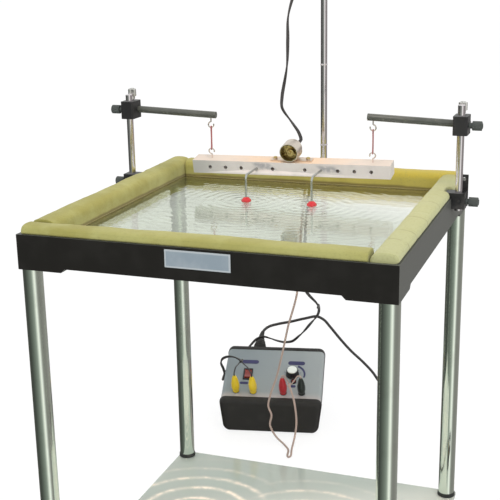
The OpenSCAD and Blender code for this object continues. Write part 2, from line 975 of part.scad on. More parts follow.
module dipper_ball(side) {
    h = hole_point(side);
    color([0.8, 0.1, 0.12])
        difference() {
            translate([h.x, dipper_y, ball_z])
                sphere(d = ball_d);
            translate([h.x, dipper_y, ball_z + ball_d / 2 - 4 - seat_clear])
                cylinder(d = arm_d + 2 * run_clear, h = 10);
        }
}

module left_ball() { dipper_ball(-1); }
module right_ball() { dipper_ball(1); }

// ---------------------------------------------------------------- lamp

lamp_bw = 22;
lamp_boss_out = rod_d / 2 + 6;

module lamp_boss() {
    color([0.12, 0.12, 0.13])
        translate([lamp_rod_x, post_x, lamp_arm_z])
            difference() {
                translate([-arm_offset - rod_d / 2 - 4, -lamp_bw / 2, -15])
                    cube([arm_offset + rod_d / 2 + 4 + lamp_boss_out, lamp_bw, 30]);
                translate([0, 0, -20])
                    cylinder(d = rod_d + 2 * run_clear, h = 40);
                translate([-arm_offset, 0, 0])
                    rod_y(rod_d + 2 * run_clear, 2 * lamp_bw, center = true);
                rod_x(screw_d + 0.3, 30);
            }
}

module lamp_boss_screw() {
    color("dimgray")
        translate([lamp_rod_x + rod_d / 2 + seat_clear, post_x, lamp_arm_z])
            thumbscrew(lamp_boss_out - rod_d / 2 - seat_clear, 5);
}

module lamp_arm() {
    color([0.33, 0.34, 0.35])
        translate([lamp_boss_x, hood_y - neck_w / 2 - 4, lamp_arm_z])
            rod_y(rod_d, post_x - hood_y + neck_w / 2 + 4 + lamp_bw / 2 + 3);
}

// The hood: a neck on the arm, a drum open at the bottom and the bulb's holder inside
module lamp_hood() {
    drum_top = lamp_arm_z - neck_w / 2;
    color([0.15, 0.15, 0.16])
        translate([lamp_boss_x, hood_y, 0]) {
            difference() {
                union() {
                    translate([-neck_w / 2, -neck_w / 2, drum_top - 1])
                        cube([neck_w, neck_w, neck_w + 1]);
                    translate([0, 0, drum_top - hood_h])
                        cylinder(d = hood_d, h = hood_h);
                }
                translate([0, 0, lamp_arm_z])
                    rod_y(rod_d + 2 * run_clear, 2 * neck_w, center = true);
                translate([0, 0, drum_top - hood_h - 1])
                    cylinder(d = hood_d - 2 * hood_wall, h = hood_h - hood_wall + 1);
                translate([0, hood_d / 2 - 6, drum_top - hood_gland_drop])
                    rod_y(lead_d + 0.8, 20);
            }
            translate([0, hood_d / 2 - 1, drum_top - hood_gland_drop])
                difference() {
                    rod_y(9, 4);
                    translate([0, -1, 0])
                        rod_y(lead_d + 0.8, 6);
                }
            translate([0, 0, drum_top - hood_wall - holder_h])
                difference() {
                    cylinder(d = holder_d, h = holder_h + EPS);
                    translate([0, 0, -1])
                        cylinder(d = 14 + 2 * run_clear, h = 15);
                }
        }
}

module lamp_bulb() {
    holder_low = lamp_arm_z - neck_w / 2 - hood_wall - holder_h;
    color([0.95, 0.93, 0.85, 0.6])
        translate([lamp_boss_x, hood_y, holder_low]) {
            translate([0, 0, -4])
                cylinder(d = 14, h = 16);
            translate([0, 0, -bulb_d / 2 - 1])
                sphere(d = bulb_d);
        }
}

// ---------------------------------------------------------------- control unit

// Height of the panel's face above a place y behind the front
function slope_z(y) = unit_front_h + y * tan(unit_slope);

unit_skin = panel_t / cos(unit_slope);

module unit_case() {
    y0 = bezel_t;
    y1 = unit_d - bezel_t;
    color([0.45, 0.47, 0.5])
        at_unit() {
            difference() {
                bar_x(unit_w)
                    polygon([
                        [y0, unit_foot_h], [y1, unit_foot_h],
                        [y1, slope_z(y1) - unit_skin], [y0, slope_z(y0) - unit_skin]
                    ]);
                bar_x(unit_w - 2 * unit_wall)
                    polygon([
                        [y0 + unit_wall, unit_foot_h + unit_wall],
                        [y1 - unit_wall, unit_foot_h + unit_wall],
                        [y1 - unit_wall, unit_rear_h + 20], [y0 + unit_wall, unit_rear_h]
                    ]);
                translate([gland_at[0], unit_d, gland_at[1]])
                    rod_y(mains_d + 1, 3 * bezel_t, center = true);
            }
            for (x = [-1, 1], y = [bezel_t + 10, unit_d - bezel_t - 10])
                translate([x * (unit_w / 2 - 14), y, 0])
                    cylinder(d = 14, h = unit_foot_h + EPS);
            translate([gland_at[0], y1 - EPS, gland_at[1]])
                difference() {
                    union() {
                        rod_y(gland_d, bezel_t + 4);
                        rod_y(gland_d - 2, bezel_t + gland_l);
                    }
                    translate([0, -1, 0])
                        rod_y(mains_d + 1, bezel_t + gland_l + 2);
                }
        }
}

bezel_lap = 2.5;
bezel_rise = 1.5;

// One layer of a bezel at y, drawn in by g, with its top following the panel's slope
module bezel_layer(y, g) {
    low = unit_foot_h - 1;
    top = slope_z(y) + bezel_rise;
    translate([0, y, (low + top) / 2])
        rotate([90, 0, 0])
            linear_extrude(EPS, center = true)
                round_rect([unit_w + 2 * bezel_lap - 2 * g, top - low - 2 * g], 10);
}

// Moulded bezels clasp the front and the rear ends of the case
module unit_bezels() {
    color([0.2, 0.22, 0.25])
        at_unit() {
            hull() {
                bezel_layer(EPS, 3);
                bezel_layer(3, 0);
                bezel_layer(bezel_t - EPS, 0);
            }
            difference() {
                hull() {
                    bezel_layer(unit_d - bezel_t + EPS, 0);
                    bezel_layer(unit_d - 3, 0);
                    bezel_layer(unit_d - EPS, 3);
                }
                translate([gland_at[0], unit_d - bezel_t / 2, gland_at[1]])
                    rod_y(gland_d + 1, 2 * bezel_t, center = true);
            }
        }
}

module unit_panel() {
    color([0.74, 0.77, 0.82])
        at_panel([0, 0])
            difference() {
                translate([-unit_w / 2, bezel_t / cos(unit_slope) + seat_clear / 2, -panel_t])
                    cube([unit_w, panel_l, panel_t]);
                translate([dial_at[0], dial_at[1], -10])
                    cylinder(d = 6 + 2 * run_clear, h = 20);
                translate([rocker_at[0], rocker_at[1], 0])
                    cube([
                        rocker_size[0] + 1, rocker_size[1] + 1, 10
                    ], center = true);
                for (p = concat(motor_plug_at, lamp_plug_at))
                    translate([p[0], p[1], -10])
                        cylinder(d = plug_pin_d + 2 * run_clear, h = 20);
            }
}

module unit_rocker() {
    color([0.75, 0.1, 0.1])
        at_panel(rocker_at)
            translate([0, 0, -1])
                bar_x(rocker_size[0])
                    intersection() {
                        circle(d = rocker_size[1] - 2);
                        translate([0, 1])
                            square([rocker_size[1], rocker_size[2]], center = true);
                    }
}

module unit_dial() {
    color([0.08, 0.08, 0.09])
        at_panel(dial_at) {
            translate([0, 0, -9])
                cylinder(d = 6, h = 11);
            translate([0, 0, 0.6])
                cylinder(d1 = dial_d, d2 = dial_d - 3, h = dial_h - 3);
            translate([0, 0, dial_h - 2.4 - EPS])
                cylinder(d = dial_d - 7, h = 2);
        }
}

// The transformer's core and winding, and the circuit board beside it
module unit_transformer() {
    color([0.3, 0.28, 0.26])
        at_unit()
            translate([
                transformer_at[0], transformer_at[1], unit_foot_h + unit_wall + seat_clear
            ]) {
                translate([-core_size[0] / 2, -core_size[1] / 2, 0])
                    cube(core_size);
                translate([-winding_size[0] / 2, -winding_size[1] / 2, winding_lift])
                    cube(winding_size);
                translate([core_size[0] / 2 + circuit_gap, -circuit_size[1] / 2, 0])
                    cube(circuit_size);
            }
}

// A 4 mm plug standing on the panel, with a short tail to its lead's end
module stack_plug(at, join) {
    top = panel_point(at, plug_l + seat_clear);
    up = unit(panel_point(at, plug_l + 10) - top);
    at_panel(at) {
        translate([0, 0, -plug_pin_l])
            cylinder(d = plug_pin_d, h = plug_pin_l + 1);
        translate([0, 0, seat_clear])
            cylinder(d = plug_d, h = plug_l - 6);
        translate([0, 0, plug_l - 6])
            cylinder(d1 = plug_d, d2 = 5, h = 6);
    }
    tube([
        top - 1 * up, top + 6 * up,
        top + 11 * up + 0.25 * (join - top),
        join + 0.35 * (top - join) + [0, 0, 4],
        join + 0.12 * (top - join) + [0, 0, 1], join
    ], 2.4, 8);
}

// The plug pair's pieces start at either side of the lead's end
function join_side(join, at, s) =
    let (
        across = unit(panel_point([at[0] + 10, at[1]], 0) - panel_point(at, 0))
    )
    join + s * 1.5 * across;

module motor_plugs() {
    color([0.9, 0.75, 0.1]) {
        stack_plug(motor_plug_at[0], join_side(motor_join, motor_plug_at[0], -1) + [0, -3, 0]);
        stack_plug(motor_plug_at[1], join_side(motor_join, motor_plug_at[1], 1) + [0, -3, 0]);
    }
}

module lamp_plugs() {
    color([0.7, 0.08, 0.08]) {
        stack_plug(lamp_plug_at[0], join_side(lamp_join, lamp_plug_at[0], -1) + [0, 3, 0]);
        stack_plug(lamp_plug_at[1], join_side(lamp_join, lamp_plug_at[1], 1) + [0, 3, 0]);
    }
}

// ---------------------------------------------------------------- leads

module motor_lead() {
    color([0.12, 0.1, 0.1])
        tube(motor_route, motor_lead_d);
}

module lamp_lead() {
    color([0.6, 0.5, 0.5])
        tube(lamp_route, lead_d);
}

module mains_lead() {
    color([0.08, 0.08, 0.08])
        tube(mains_route, mains_d);
}

coil_end = 2 * coil_turns + 0.5;

// Radius and height of the coil after t turns: in, up a layer, and out again
function coil_radius(t) =
    t < coil_turns ? coil_r - coil_pitch * t :
    t < coil_turns + 0.5 ? coil_r - coil_pitch * coil_turns :
    coil_r - coil_pitch * (coil_end - t);

function coil_climb(t) =
    let (s = min(max(2 * (t - coil_turns), 0), 1))
    coil_layer * s * s * (3 - 2 * s);

function coil_point(t) =
    coil_c + [
        coil_radius(t) * cos(360 * t - 90),
        coil_radius(t) * sin(360 * t - 90),
        coil_climb(t)
    ];

coil_path = concat(
    [for (i = [0 : coil_steps * coil_end]) coil_point(i / coil_steps)],
    [coil_point(coil_end) - [mains_d, 0, 0], coil_point(coil_end) - [coil_tail, 0, 0]]
);

// The least gap between the coil's turns, measured on its own points
coil_gap = min([
    for (i = [0 : len(coil_path) - 1], j = [i + coil_steps / 2 : 1 : len(coil_path) - 1])
        norm(coil_path[i] - coil_path[j]) - mains_d
]);
echo(coil_gap = coil_gap);

module mains_coil() {
    color([0.08, 0.08, 0.08])
        tube(coil_path, mains_d, 6);
}

// A three-pin mains plug on its back at the end of the coil's tail
module mains_plug() {
    entry = coil_point(coil_end) - [coil_tail, 0, 0];
    body_h = 2 * entry.z;
    color([0.1, 0.1, 0.1])
        translate([entry.x, entry.y, 0]) {
            translate([-mains_plug_l, 0, 0])
                linear_extrude(body_h)
                    polygon([
                        [0, -mains_plug_w / 2 + 6], [6, -mains_plug_w / 2],
                        [mains_plug_l - 16, -mains_plug_w / 2], [mains_plug_l, -10],
                        [mains_plug_l, 10], [mains_plug_l - 16, mains_plug_w / 2],
                        [6, mains_plug_w / 2], [0, mains_plug_w / 2 - 6]
                    ]);
            translate([-mains_plug_l + 6, -2, body_h - EPS])
                cube([8, 4, 22]);
            for (s = [-1, 1])
                translate([-mains_plug_l + 28, s * 11 - 3.2, body_h - EPS])
                    cube([4, 6.4, 17.5]);
        }
}

screen_board();
legs();
leg_ferrules();
leg_studs();
tank_frame();
glass_bottom();
foam_front();
foam_right();
foam_rear();
foam_left();
blank_plate();
left_clamp();
right_clamp();
rear_clamp();
left_clamp_screw();
right_clamp_screw();
rear_clamp_screw();
left_post();
right_post();
lamp_rod();
left_boss();
right_boss();
left_boss_screw();
right_boss_screw();
left_arm_screw();
right_arm_screw();
left_arm();
right_arm();
left_hook();
right_hook();
left_band();
right_band();
beam();
beam_hooks();
motor_can();
motor_cap();
motor_shaft();
motor_saddle();
left_dipper();
right_dipper();
left_ball();
right_ball();
lamp_boss();
lamp_boss_screw();
lamp_arm();
lamp_hood();
lamp_bulb();
unit_case();
unit_bezels();
unit_panel();
unit_rocker();
unit_dial();
unit_transformer();
motor_plugs();
lamp_plugs();
motor_lead();
lamp_lead();
mains_lead();
mains_coil();
mains_plug();
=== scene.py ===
"""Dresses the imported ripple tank: finishes, foam, water, leads, a plain studio and its camera.

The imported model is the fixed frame, so every place below is in its axes, in metres at the end
and in millimetres where a maker would measure it. Each sub-assembly is a class that holds its
own sizes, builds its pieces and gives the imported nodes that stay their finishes.
"""

import json
import logging
import math
from dataclasses import dataclass, field
from enum import Enum
from functools import cache
from typing import Any, Iterable, Mapping, Sequence

import bmesh
import bpy
from mathutils import Matrix, Vector, noise

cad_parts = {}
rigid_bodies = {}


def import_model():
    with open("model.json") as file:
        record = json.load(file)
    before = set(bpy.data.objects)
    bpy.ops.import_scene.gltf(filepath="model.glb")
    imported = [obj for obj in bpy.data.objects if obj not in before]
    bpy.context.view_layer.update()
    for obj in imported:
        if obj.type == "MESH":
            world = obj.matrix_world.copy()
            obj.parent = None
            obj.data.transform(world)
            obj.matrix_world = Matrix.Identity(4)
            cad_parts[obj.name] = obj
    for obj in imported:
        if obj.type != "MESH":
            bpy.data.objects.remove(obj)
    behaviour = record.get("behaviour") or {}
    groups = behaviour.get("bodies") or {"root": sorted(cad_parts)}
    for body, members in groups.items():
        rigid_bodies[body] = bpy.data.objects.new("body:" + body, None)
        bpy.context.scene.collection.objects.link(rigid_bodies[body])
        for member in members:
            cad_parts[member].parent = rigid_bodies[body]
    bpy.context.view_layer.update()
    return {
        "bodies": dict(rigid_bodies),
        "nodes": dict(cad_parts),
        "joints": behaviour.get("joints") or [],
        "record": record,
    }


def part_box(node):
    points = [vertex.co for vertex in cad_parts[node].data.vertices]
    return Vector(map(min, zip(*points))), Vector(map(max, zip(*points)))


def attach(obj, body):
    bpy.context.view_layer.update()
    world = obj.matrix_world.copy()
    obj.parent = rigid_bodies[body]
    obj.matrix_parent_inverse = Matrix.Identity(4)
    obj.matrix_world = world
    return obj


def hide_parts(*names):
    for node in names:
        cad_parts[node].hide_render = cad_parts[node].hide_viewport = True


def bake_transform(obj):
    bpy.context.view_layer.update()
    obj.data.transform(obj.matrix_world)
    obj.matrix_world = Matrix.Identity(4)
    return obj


log = logging.getLogger("ripple_tank")

MM = 0.001
FULL_TURN = 2 * math.pi
SHARP_EDGE = math.radians(34)

Point = Sequence[float]
Colour = tuple[float, float, float]


class Body(Enum):
    """The bodies that pieces ride on."""

    STAND = "stand"
    LEFT_HANGER = "left_hanger"
    RIGHT_HANGER = "right_hanger"
    BEAM = "wave_beam"
    ROTOR = "rotor"
    LEFT_DIP = "left_dip"
    RIGHT_DIP = "right_dip"
    LAMP = "lamp"
    DIAL = "dial"
    ROCKER = "rocker"


class Axis(Enum):
    """The way a part's own +Z is laid when it is placed."""

    UP = Matrix.Identity(4)
    RIGHT = Matrix.Rotation(math.pi / 2, 4, "Y")
    LEFT = Matrix.Rotation(-math.pi / 2, 4, "Y")
    BACK = Matrix.Rotation(-math.pi / 2, 4, "X")
    FRONT = Matrix.Rotation(math.pi / 2, 4, "X")


def mm(x: float, y: float, z: float) -> Vector:
    """Returns a point given in millimetres, in metres."""
    return Vector((x, y, z)) * MM


def at(x: float, y: float, z: float, axis: Axis = Axis.UP) -> Matrix:
    """Returns the placing that moves a part to a point in millimetres, laid along an axis."""
    return Matrix.Translation((x, y, z)) @ axis.value


# ---------------------------------------------------------------- shader building


class Wire:
    """A shader socket whose arithmetic adds Math nodes."""

    def __init__(self, shader: "Shader", socket: bpy.types.NodeSocket | None) -> None:
        """Holds one output socket of a shader's tree."""
        self.shader = shader
        self.socket = socket

    def math(self, operation: str, *others: Any) -> "Wire":
        """Returns a Math node's result.

        Args:
            operation: The Math node's operation.
            others: The operands after this one, as wires or numbers.

        Returns:
            The node's value.
        """
        values = dict(enumerate((self, *others)))
        return self.shader.node("ShaderNodeMath", {"operation": operation}, values)

    def __add__(self, other: Any) -> "Wire":
        """Adds a wire or a number."""
        return self.math("ADD", other)

    def __sub__(self, other: Any) -> "Wire":
        """Takes away a wire or a number."""
        return self.math("SUBTRACT", other)

    def __mul__(self, other: Any) -> "Wire":
        """Multiplies by a wire or a number."""
        return self.math("MULTIPLY", other)

    def __truediv__(self, other: Any) -> "Wire":
        """Divides by a wire or a number."""
        return self.math("DIVIDE", other)

    def __pow__(self, other: Any) -> "Wire":
        """Raises to a power."""
        return self.math("POWER", other)

    def __rsub__(self, other: float) -> "Wire":
        """Takes this wire away from a number."""
        return self.shader.number(other).math("SUBTRACT", self)

    __radd__ = __add__
    __rmul__ = __mul__

    def step(self, low: float, high: float) -> "Wire":
        """Returns 0 below low and 1 above high, smooth between them."""
        settings = {"interpolation_type": "SMOOTHSTEP"}
        return self.shader.node(
            "ShaderNodeMapRange", settings, {"Value": self, "From Min": low, "From Max": high}
        )

    def band(self, centre: float, half: float, soft: float) -> "Wire":
        """Returns 1 inside a band round a value and 0 outside it, with soft edges."""
        gap = (self - centre).math("ABSOLUTE")
        return 1 - gap.step(half - soft, half + soft)


class Shader:
    """A material's node tree under construction."""

    def __init__(self, name: str, tree: bpy.types.NodeTree | None = None) -> None:
        """Starts an empty tree in a new material, or in the tree given."""
        self.material: bpy.types.Material | None = None
        if tree is None:
            self.material = bpy.data.materials.new(name)
            self.material.use_nodes = True
            tree = self.material.node_tree
        self.tree = tree
        self.tree.nodes.clear()

    def node(
        self,
        kind: str,
        settings: Mapping[str, Any] | None = None,
        inputs: Mapping[Any, Any] | None = None,
        out: int | str = 0,
    ) -> Wire:
        """Adds a node of any kind.

        Args:
            kind: The node's type.
            settings: Its own settings, with a ramp's stops under "stops".
            inputs: Its sockets by name or number, each a wire or a value.
            out: The output that is wanted.

        Returns:
            That output.
        """
        made = self.tree.nodes.new(kind)
        for key, value in (settings or {}).items():
            if key == "stops":
                self._set_stops(made.color_ramp, value)
            else:
                setattr(made, key, value)
        for key, value in (inputs or {}).items():
            if isinstance(value, Wire):
                self.tree.links.new(value.socket, made.inputs[key])
            else:
                made.inputs[key].default_value = value
        return Wire(self, made.outputs[out] if made.outputs else None)

    @staticmethod
    def _set_stops(ramp: bpy.types.ColorRamp, stops: Sequence[tuple[float, Colour]]) -> None:
        """Fills a colour ramp with (position, colour) stops."""
        while len(ramp.elements) > 1:
            ramp.elements.remove(ramp.elements[-1])
        for k, (place, colour) in enumerate(stops):
            stop = ramp.elements[0] if k == 0 else ramp.elements.new(place)
            stop.position = place
            stop.color = (*colour, 1)

    def number(self, value: float) -> Wire:
        """Returns a fixed number as a wire."""
        return self.node("ShaderNodeMath", {"operation": "ADD"}, {0: value, 1: 0.0})

    def place(self, scale: Point = (1, 1, 1), shift: Point = (0, 0, 0)) -> Wire:
        """Returns the object coordinates, shifted and then stretched."""
        here = self.node("ShaderNodeTexCoord", out="Object")
        moved = self.node(
            "ShaderNodeVectorMath", {"operation": "SUBTRACT"}, {0: here, 1: tuple(shift)}
        )
        return self.node(
            "ShaderNodeVectorMath", {"operation": "MULTIPLY"}, {0: moved, 1: tuple(scale)}
        )

    def parts(self, vector: Wire) -> tuple[Wire, Wire, Wire]:
        """Returns the three parts of a vector."""
        made = self.node("ShaderNodeSeparateXYZ", inputs={0: vector}).socket.node
        x, y, z = (Wire(self, made.outputs[k]) for k in range(3))
        return x, y, z

    def cloud(self, grain_mm: float, detail: float = 3, stretch: Point = (1, 1, 1)) -> Wire:
        """Returns soft noise whose blobs are about the given size."""
        inputs = {
            "Vector": self.place(stretch),
            "Scale": 1 / (grain_mm * MM),
            "Detail": detail,
            "Roughness": 0.55,
        }
        return self.node("ShaderNodeTexNoise", {}, inputs)

    def mix(self, factor: Any, first: Any, second: Any) -> Wire:
        """Returns a blend of two colours."""

        def four(colour: Any) -> Any:
            """Adds the alpha to a plain colour."""
            return colour if isinstance(colour, Wire) else (*colour, 1)

        inputs = {0: factor, 6: four(first), 7: four(second)}
        return self.node("ShaderNodeMix", {"data_type": "RGBA"}, inputs, out=2)

    def ramp(self, factor: Wire, stops: Sequence[tuple[float, Colour]]) -> Wire:
        """Returns a colour from a ramp of (position, colour) stops."""
        return self.node("ShaderNodeValToRGB", {"stops": stops}, {0: factor})

    def bump(self, height: Wire, depth_mm: float, strength: float = 1.0) -> Wire:
        """Returns a normal from a height, whose full range is the given depth."""
        inputs = {"Height": height, "Distance": depth_mm * MM, "Strength": strength}
        return self.node("ShaderNodeBump", {}, inputs)

    def surface(self, sockets: Mapping[str, Any]) -> Wire:
        """Returns a Principled shader with these sockets set."""
        inputs = {
            key: (*value, 1) if isinstance(value, tuple) and len(value) == 3 else value
            for key, value in sockets.items()
        }
        return self.node("ShaderNodeBsdfPrincipled", {}, inputs)

    def finish(self, shader: Wire) -> None:
        """Joins a shader to the material's output."""
        self.node("ShaderNodeOutputMaterial", {}, {"Surface": shader})


# ---------------------------------------------------------------- finishes


@dataclass(frozen=True)
class Finish:
    """A surface finish, made into a material once."""

    name: str
    slot: str

    def sockets(self, s: Shader) -> dict[str, Any]:
        """Returns the Principled sockets of this finish."""
        raise NotImplementedError

    def material(self) -> bpy.types.Material:
        """Returns the finish's material, making it at the first call."""
        found = bpy.data.materials.get(self.name)
        if found is not None:
            return found
        s = Shader(self.name)
        s.finish(s.surface(self.sockets(s)))
        return s.material


@dataclass(frozen=True)
class Metal(Finish):
    """Bare or plated metal with a faint grain along one axis."""

    colour: Colour = (0.8, 0.8, 0.8)
    rough: float = 0.15
    grain_mm: float = 3.0
    stretch: Point = (1, 1, 0.05)
    stain: Colour = (0.45, 0.42, 0.38)
    stained: float = 0.25
    depth_mm: float = 0.02

    def sockets(self, s: Shader) -> dict[str, Any]:
        """Returns the Principled sockets of this finish."""
        grain = s.cloud(self.grain_mm, 4, self.stretch)
        patches = s.cloud(self.grain_mm * 9, 5).step(0.5, 0.8)
        return {
            "Base Color": s.mix(patches * self.stained, self.colour, self.stain),
            "Metallic": 1.0,
            "Roughness": grain * 0.12 + patches * 0.12 + (self.rough - 0.06),
            "Normal": s.bump(grain, self.depth_mm, 0.35),
        }


@dataclass(frozen=True)
class Paint(Finish):
    """Sprayed paint with orange peel, lighter mottled patches, rubbed edges and a painted sheen that pales
    faces seen edge-on.
    """

    colour: Colour = (0.02, 0.02, 0.02)
    worn: Colour = (0.16, 0.15, 0.14)
    wear: float = 0.5
    rough: float = 0.4
    peel_mm: float = 1.6
    mottle: float = 0.1
    level: float = 0.5
    painted_sheen: Colour = (0.16, 0.165, 0.15)
    painted_sheen_weight: float = 0.0
    patchy: float = 0.16

    def sockets(self, s: Shader) -> dict[str, Any]:
        """Returns the Principled sockets of this finish."""
        point = s.node("ShaderNodeNewGeometry", out="Pointiness")
        patches = s.cloud(34, 5)
        rubbed = point.step(0.53, 0.62) * patches.step(0.4, 0.62) * self.wear
        lighter = tuple(c * (1 + self.mottle) + 0.02 * self.mottle for c in self.colour)
        base = s.mix(patches.step(0.3, 0.75), self.colour, lighter)
        # Painted sheen: faces seen edge-on turn towards the sheen colour.
        edge_on = s.node("ShaderNodeLayerWeight", {}, {"Blend": 0.5}, "Facing")
        base = s.mix(edge_on.step(0.3, 0.75) * self.painted_sheen_weight, base, self.painted_sheen)
        return {
            "Base Color": s.mix(rubbed, base, self.worn),
            "Roughness": patches * self.patchy + (self.rough - self.patchy / 2),
            "Specular IOR Level": self.level,
            "Normal": s.bump(s.cloud(self.peel_mm, 2), 0.05, 0.5),
        }


@dataclass(frozen=True)
class Plastic(Finish):
    """Moulded plastic or rubber with a fine grain, handled and slightly dusty."""

    colour: Colour = (0.05, 0.05, 0.05)
    dust: Colour = (0.4, 0.38, 0.34)
    dusty: float = 0.08
    rough: float = 0.45
    grain_mm: float = 0.7
    depth_mm: float = 0.06
    coat: float = 0.0
    through: float = 0.0

    def sockets(self, s: Shader) -> dict[str, Any]:
        """Returns the Principled sockets of this finish."""
        patches = s.cloud(22, 5)
        deeper = tuple(c * 0.82 for c in self.colour)
        base = s.mix(patches.step(0.35, 0.7), deeper, self.colour)
        return {
            "Base Color": s.mix(patches.step(0.55, 0.8) * self.dusty, base, self.dust),
            "Roughness": patches * 0.14 + (self.rough - 0.07),
            "Coat Weight": self.coat,
            "Subsurface Weight": self.through,
            "Subsurface Scale": 0.003,
            "Normal": s.bump(s.cloud(self.grain_mm, 2), self.depth_mm, 0.5),
        }


@dataclass(frozen=True)
class Foam(Finish):
    """Yellow open-cell foam: fine pores, lighter patches, creases with painted shade and a painted shadow
    line where it meets the water.
    """

    colour: Colour = (0.315, 0.295, 0.080)
    lighter_tone: Colour = (0.385, 0.375, 0.135)
    pale: Colour = (0.50, 0.515, 0.29)
    rear_ochre: Colour = (0.53, 0.415, 0.050)
    waterline_shadow: Colour = (0.16, 0.125, 0.04)
    soaked: Colour = (0.52, 0.42, 0.14)
    wet_z: float = 516.6
    creases: tuple[float, ...] = (-172.0, -128.0, -61.0, 24.0, 97.0)

    def sockets(self, s: Shader) -> dict[str, Any]:
        """Returns the Principled sockets of this finish."""
        x, y, z = s.parts(s.place((1000, 1000, 1000)))
        patches = s.cloud(46, 4)
        pores = s.cloud(1.1, 3)
        base = s.mix(patches.step(0.35, 0.66), self.colour, self.lighter_tone)
        # Paler towards +x.
        base = s.mix(x.step(-160.0, 200.0) * 0.5, base, self.lighter_tone)
        right = x.step(203.0, 208.0) * (1 - y.step(150.0, 215.0))
        base = s.mix(right * (0.9 - patches * 0.5), base, self.pale)
        # More orange along the rear strip, most towards the right.
        rear = y.step(203.0, 206.0) * (0.2 + x.step(-150.0, 150.0) * 0.8)
        base = s.mix(rear * (0.55 + patches * 0.5), base, self.rear_ochre)
        damp = 1 - (z + patches * 4).step(self.wet_z - 2.0, self.wet_z + 2.0)
        base = s.mix(damp * 0.85, base, self.soaked)
        # Painted shadow: a dark line along the water's edge.
        base = s.mix((z + patches * 4).band(self.wet_z, 2.6, 1.6) * 0.85, base, self.waterline_shadow)
        base = s.mix(s.cloud(2.6, 3).step(0.5, 0.72) * 0.3, base, (0.24, 0.23, 0.085))
        base = s.mix(pores.step(0.6, 0.74) * 0.3, base, (0.20, 0.17, 0.05))
        slant = y + x * 0.35 - 78.0 + s.cloud(9, 2) * 5
        lines = [slant.band(c, 1.4, 1.2) for c in self.creases]
        creased = lines[0]
        for line in lines[1:]:
            creased = creased.math("MAXIMUM", line)
        creased = creased * right * s.cloud(13, 2).step(0.3, 0.6)
        # Painted shade: the creases on the right strip are darkened.
        base = s.mix(creased * 0.45, base, (0.20, 0.17, 0.06))
        return {
            "Base Color": base,
            "Roughness": 0.95 - damp * 0.3,
            "Specular IOR Level": 0.2,
            "Sheen Weight": 0.12,
            "Sheen Roughness": 0.6,
            "Normal": s.bump(pores * 0.7 + s.cloud(5.5, 3) * 0.7 - creased * 0.8, 0.6, 0.7),
        }


@dataclass(frozen=True)
class Glass(Finish):
    """Clear glass or water; a far colour adds painted light that pales it towards the back."""

    tint: Colour = (0.9, 0.95, 0.92)
    index: float = 1.5
    rough: float = 0.0
    smear: float = 0.04
    smear_mm: float = 60.0
    far: Colour | None = None

    def sockets(self, s: Shader) -> dict[str, Any]:
        """Returns the Principled sockets of this finish."""
        patches = s.cloud(self.smear_mm, 4)
        deeper = tuple(c * (1 - self.smear) for c in self.tint)
        base = s.mix(patches.step(0.4, 0.7), self.tint, deeper)
        # Painted light: the colour pales towards the back.
        if self.far is not None:
            x, y, _ = s.parts(s.place((1000, 1000, 1000)))
            base = s.mix((y + x * 0.5).step(20.0, 190.0), base, self.far)
        return {
            "Base Color": base,
            "Roughness": self.rough,
            "IOR": self.index,
            "Transmission Weight": 1.0,
        }


@dataclass(frozen=True)
class RippleScreen(Finish):
    """The white viewing board under the light rings that two dippers throw on it, with painted shade under
    the tank that lightens towards the front.
    """

    # The grey-green colour and the paler one are painted shade on the white board.
    colour: Colour = (0.385, 0.44, 0.40)
    paler: Colour = (0.57, 0.60, 0.54)
    light: Colour = (0.95, 0.84, 0.70)
    centres: tuple[Point, Point] = ((-137.0, 37.0), (45.0, 30.0))
    first_rings: tuple[float, float] = (90.5, 142.5)
    divide: float = -57.0
    wave: float = 34.0
    reach: float = 205.0

    def rings(self, x: Wire, y: Wire, centre: Point, first: float) -> Wire:
        """Returns the bright rings round one centre, fading with their distance.

        Args:
            x: The place across the board in millimetres.
            y: The place along the board in millimetres.
            centre: The middle of the rings.
            first: The radius of a bright ring.

        Returns:
            How bright the rings are, from 0 to 1.
        """
        far = ((x - centre[0]) ** 2 + (y - centre[1]) ** 2) ** 0.5
        turns = (far - first) * (FULL_TURN / self.wave)
        crest = (turns.math("COSINE") * 0.5 + 0.5) ** 6
        return crest * (1 - far.step(self.reach * 0.45, self.reach))

    def sockets(self, s: Shader) -> dict[str, Any]:
        """Returns the Principled sockets of this finish."""
        x, y, z = s.parts(s.place((1000, 1000, 1000)))
        wobble = s.cloud(30, 2) * 5 - 2.5
        left, right = (
            self.rings(x + wobble, y + wobble, c, first)
            for c, first in zip(self.centres, self.first_rings)
        )
        side = x.step(self.divide - 22, self.divide + 22)
        lit = left * (1 - side) + right * side
        dots = s.cloud(17, 3).step(0.38, 0.66) * 0.65 + 0.35
        top = z.step(5.0, 5.9)
        near = (x * 0.5 - y).step(-190.0, -95.0)
        # Painted shade: darker towards the back, paler towards the front.
        base = s.mix(near, self.colour, self.paler)
        base = s.mix(s.cloud(120, 2).step(0.3, 0.7) * 0.3, base, (0.47, 0.47, 0.43))
        return {
            "Base Color": s.mix(lit * dots * top, base, self.light),
            "Roughness": s.cloud(60, 4) * 0.06 + 0.06,
            "Normal": s.bump(s.cloud(14, 3), 0.03, 0.25),
        }


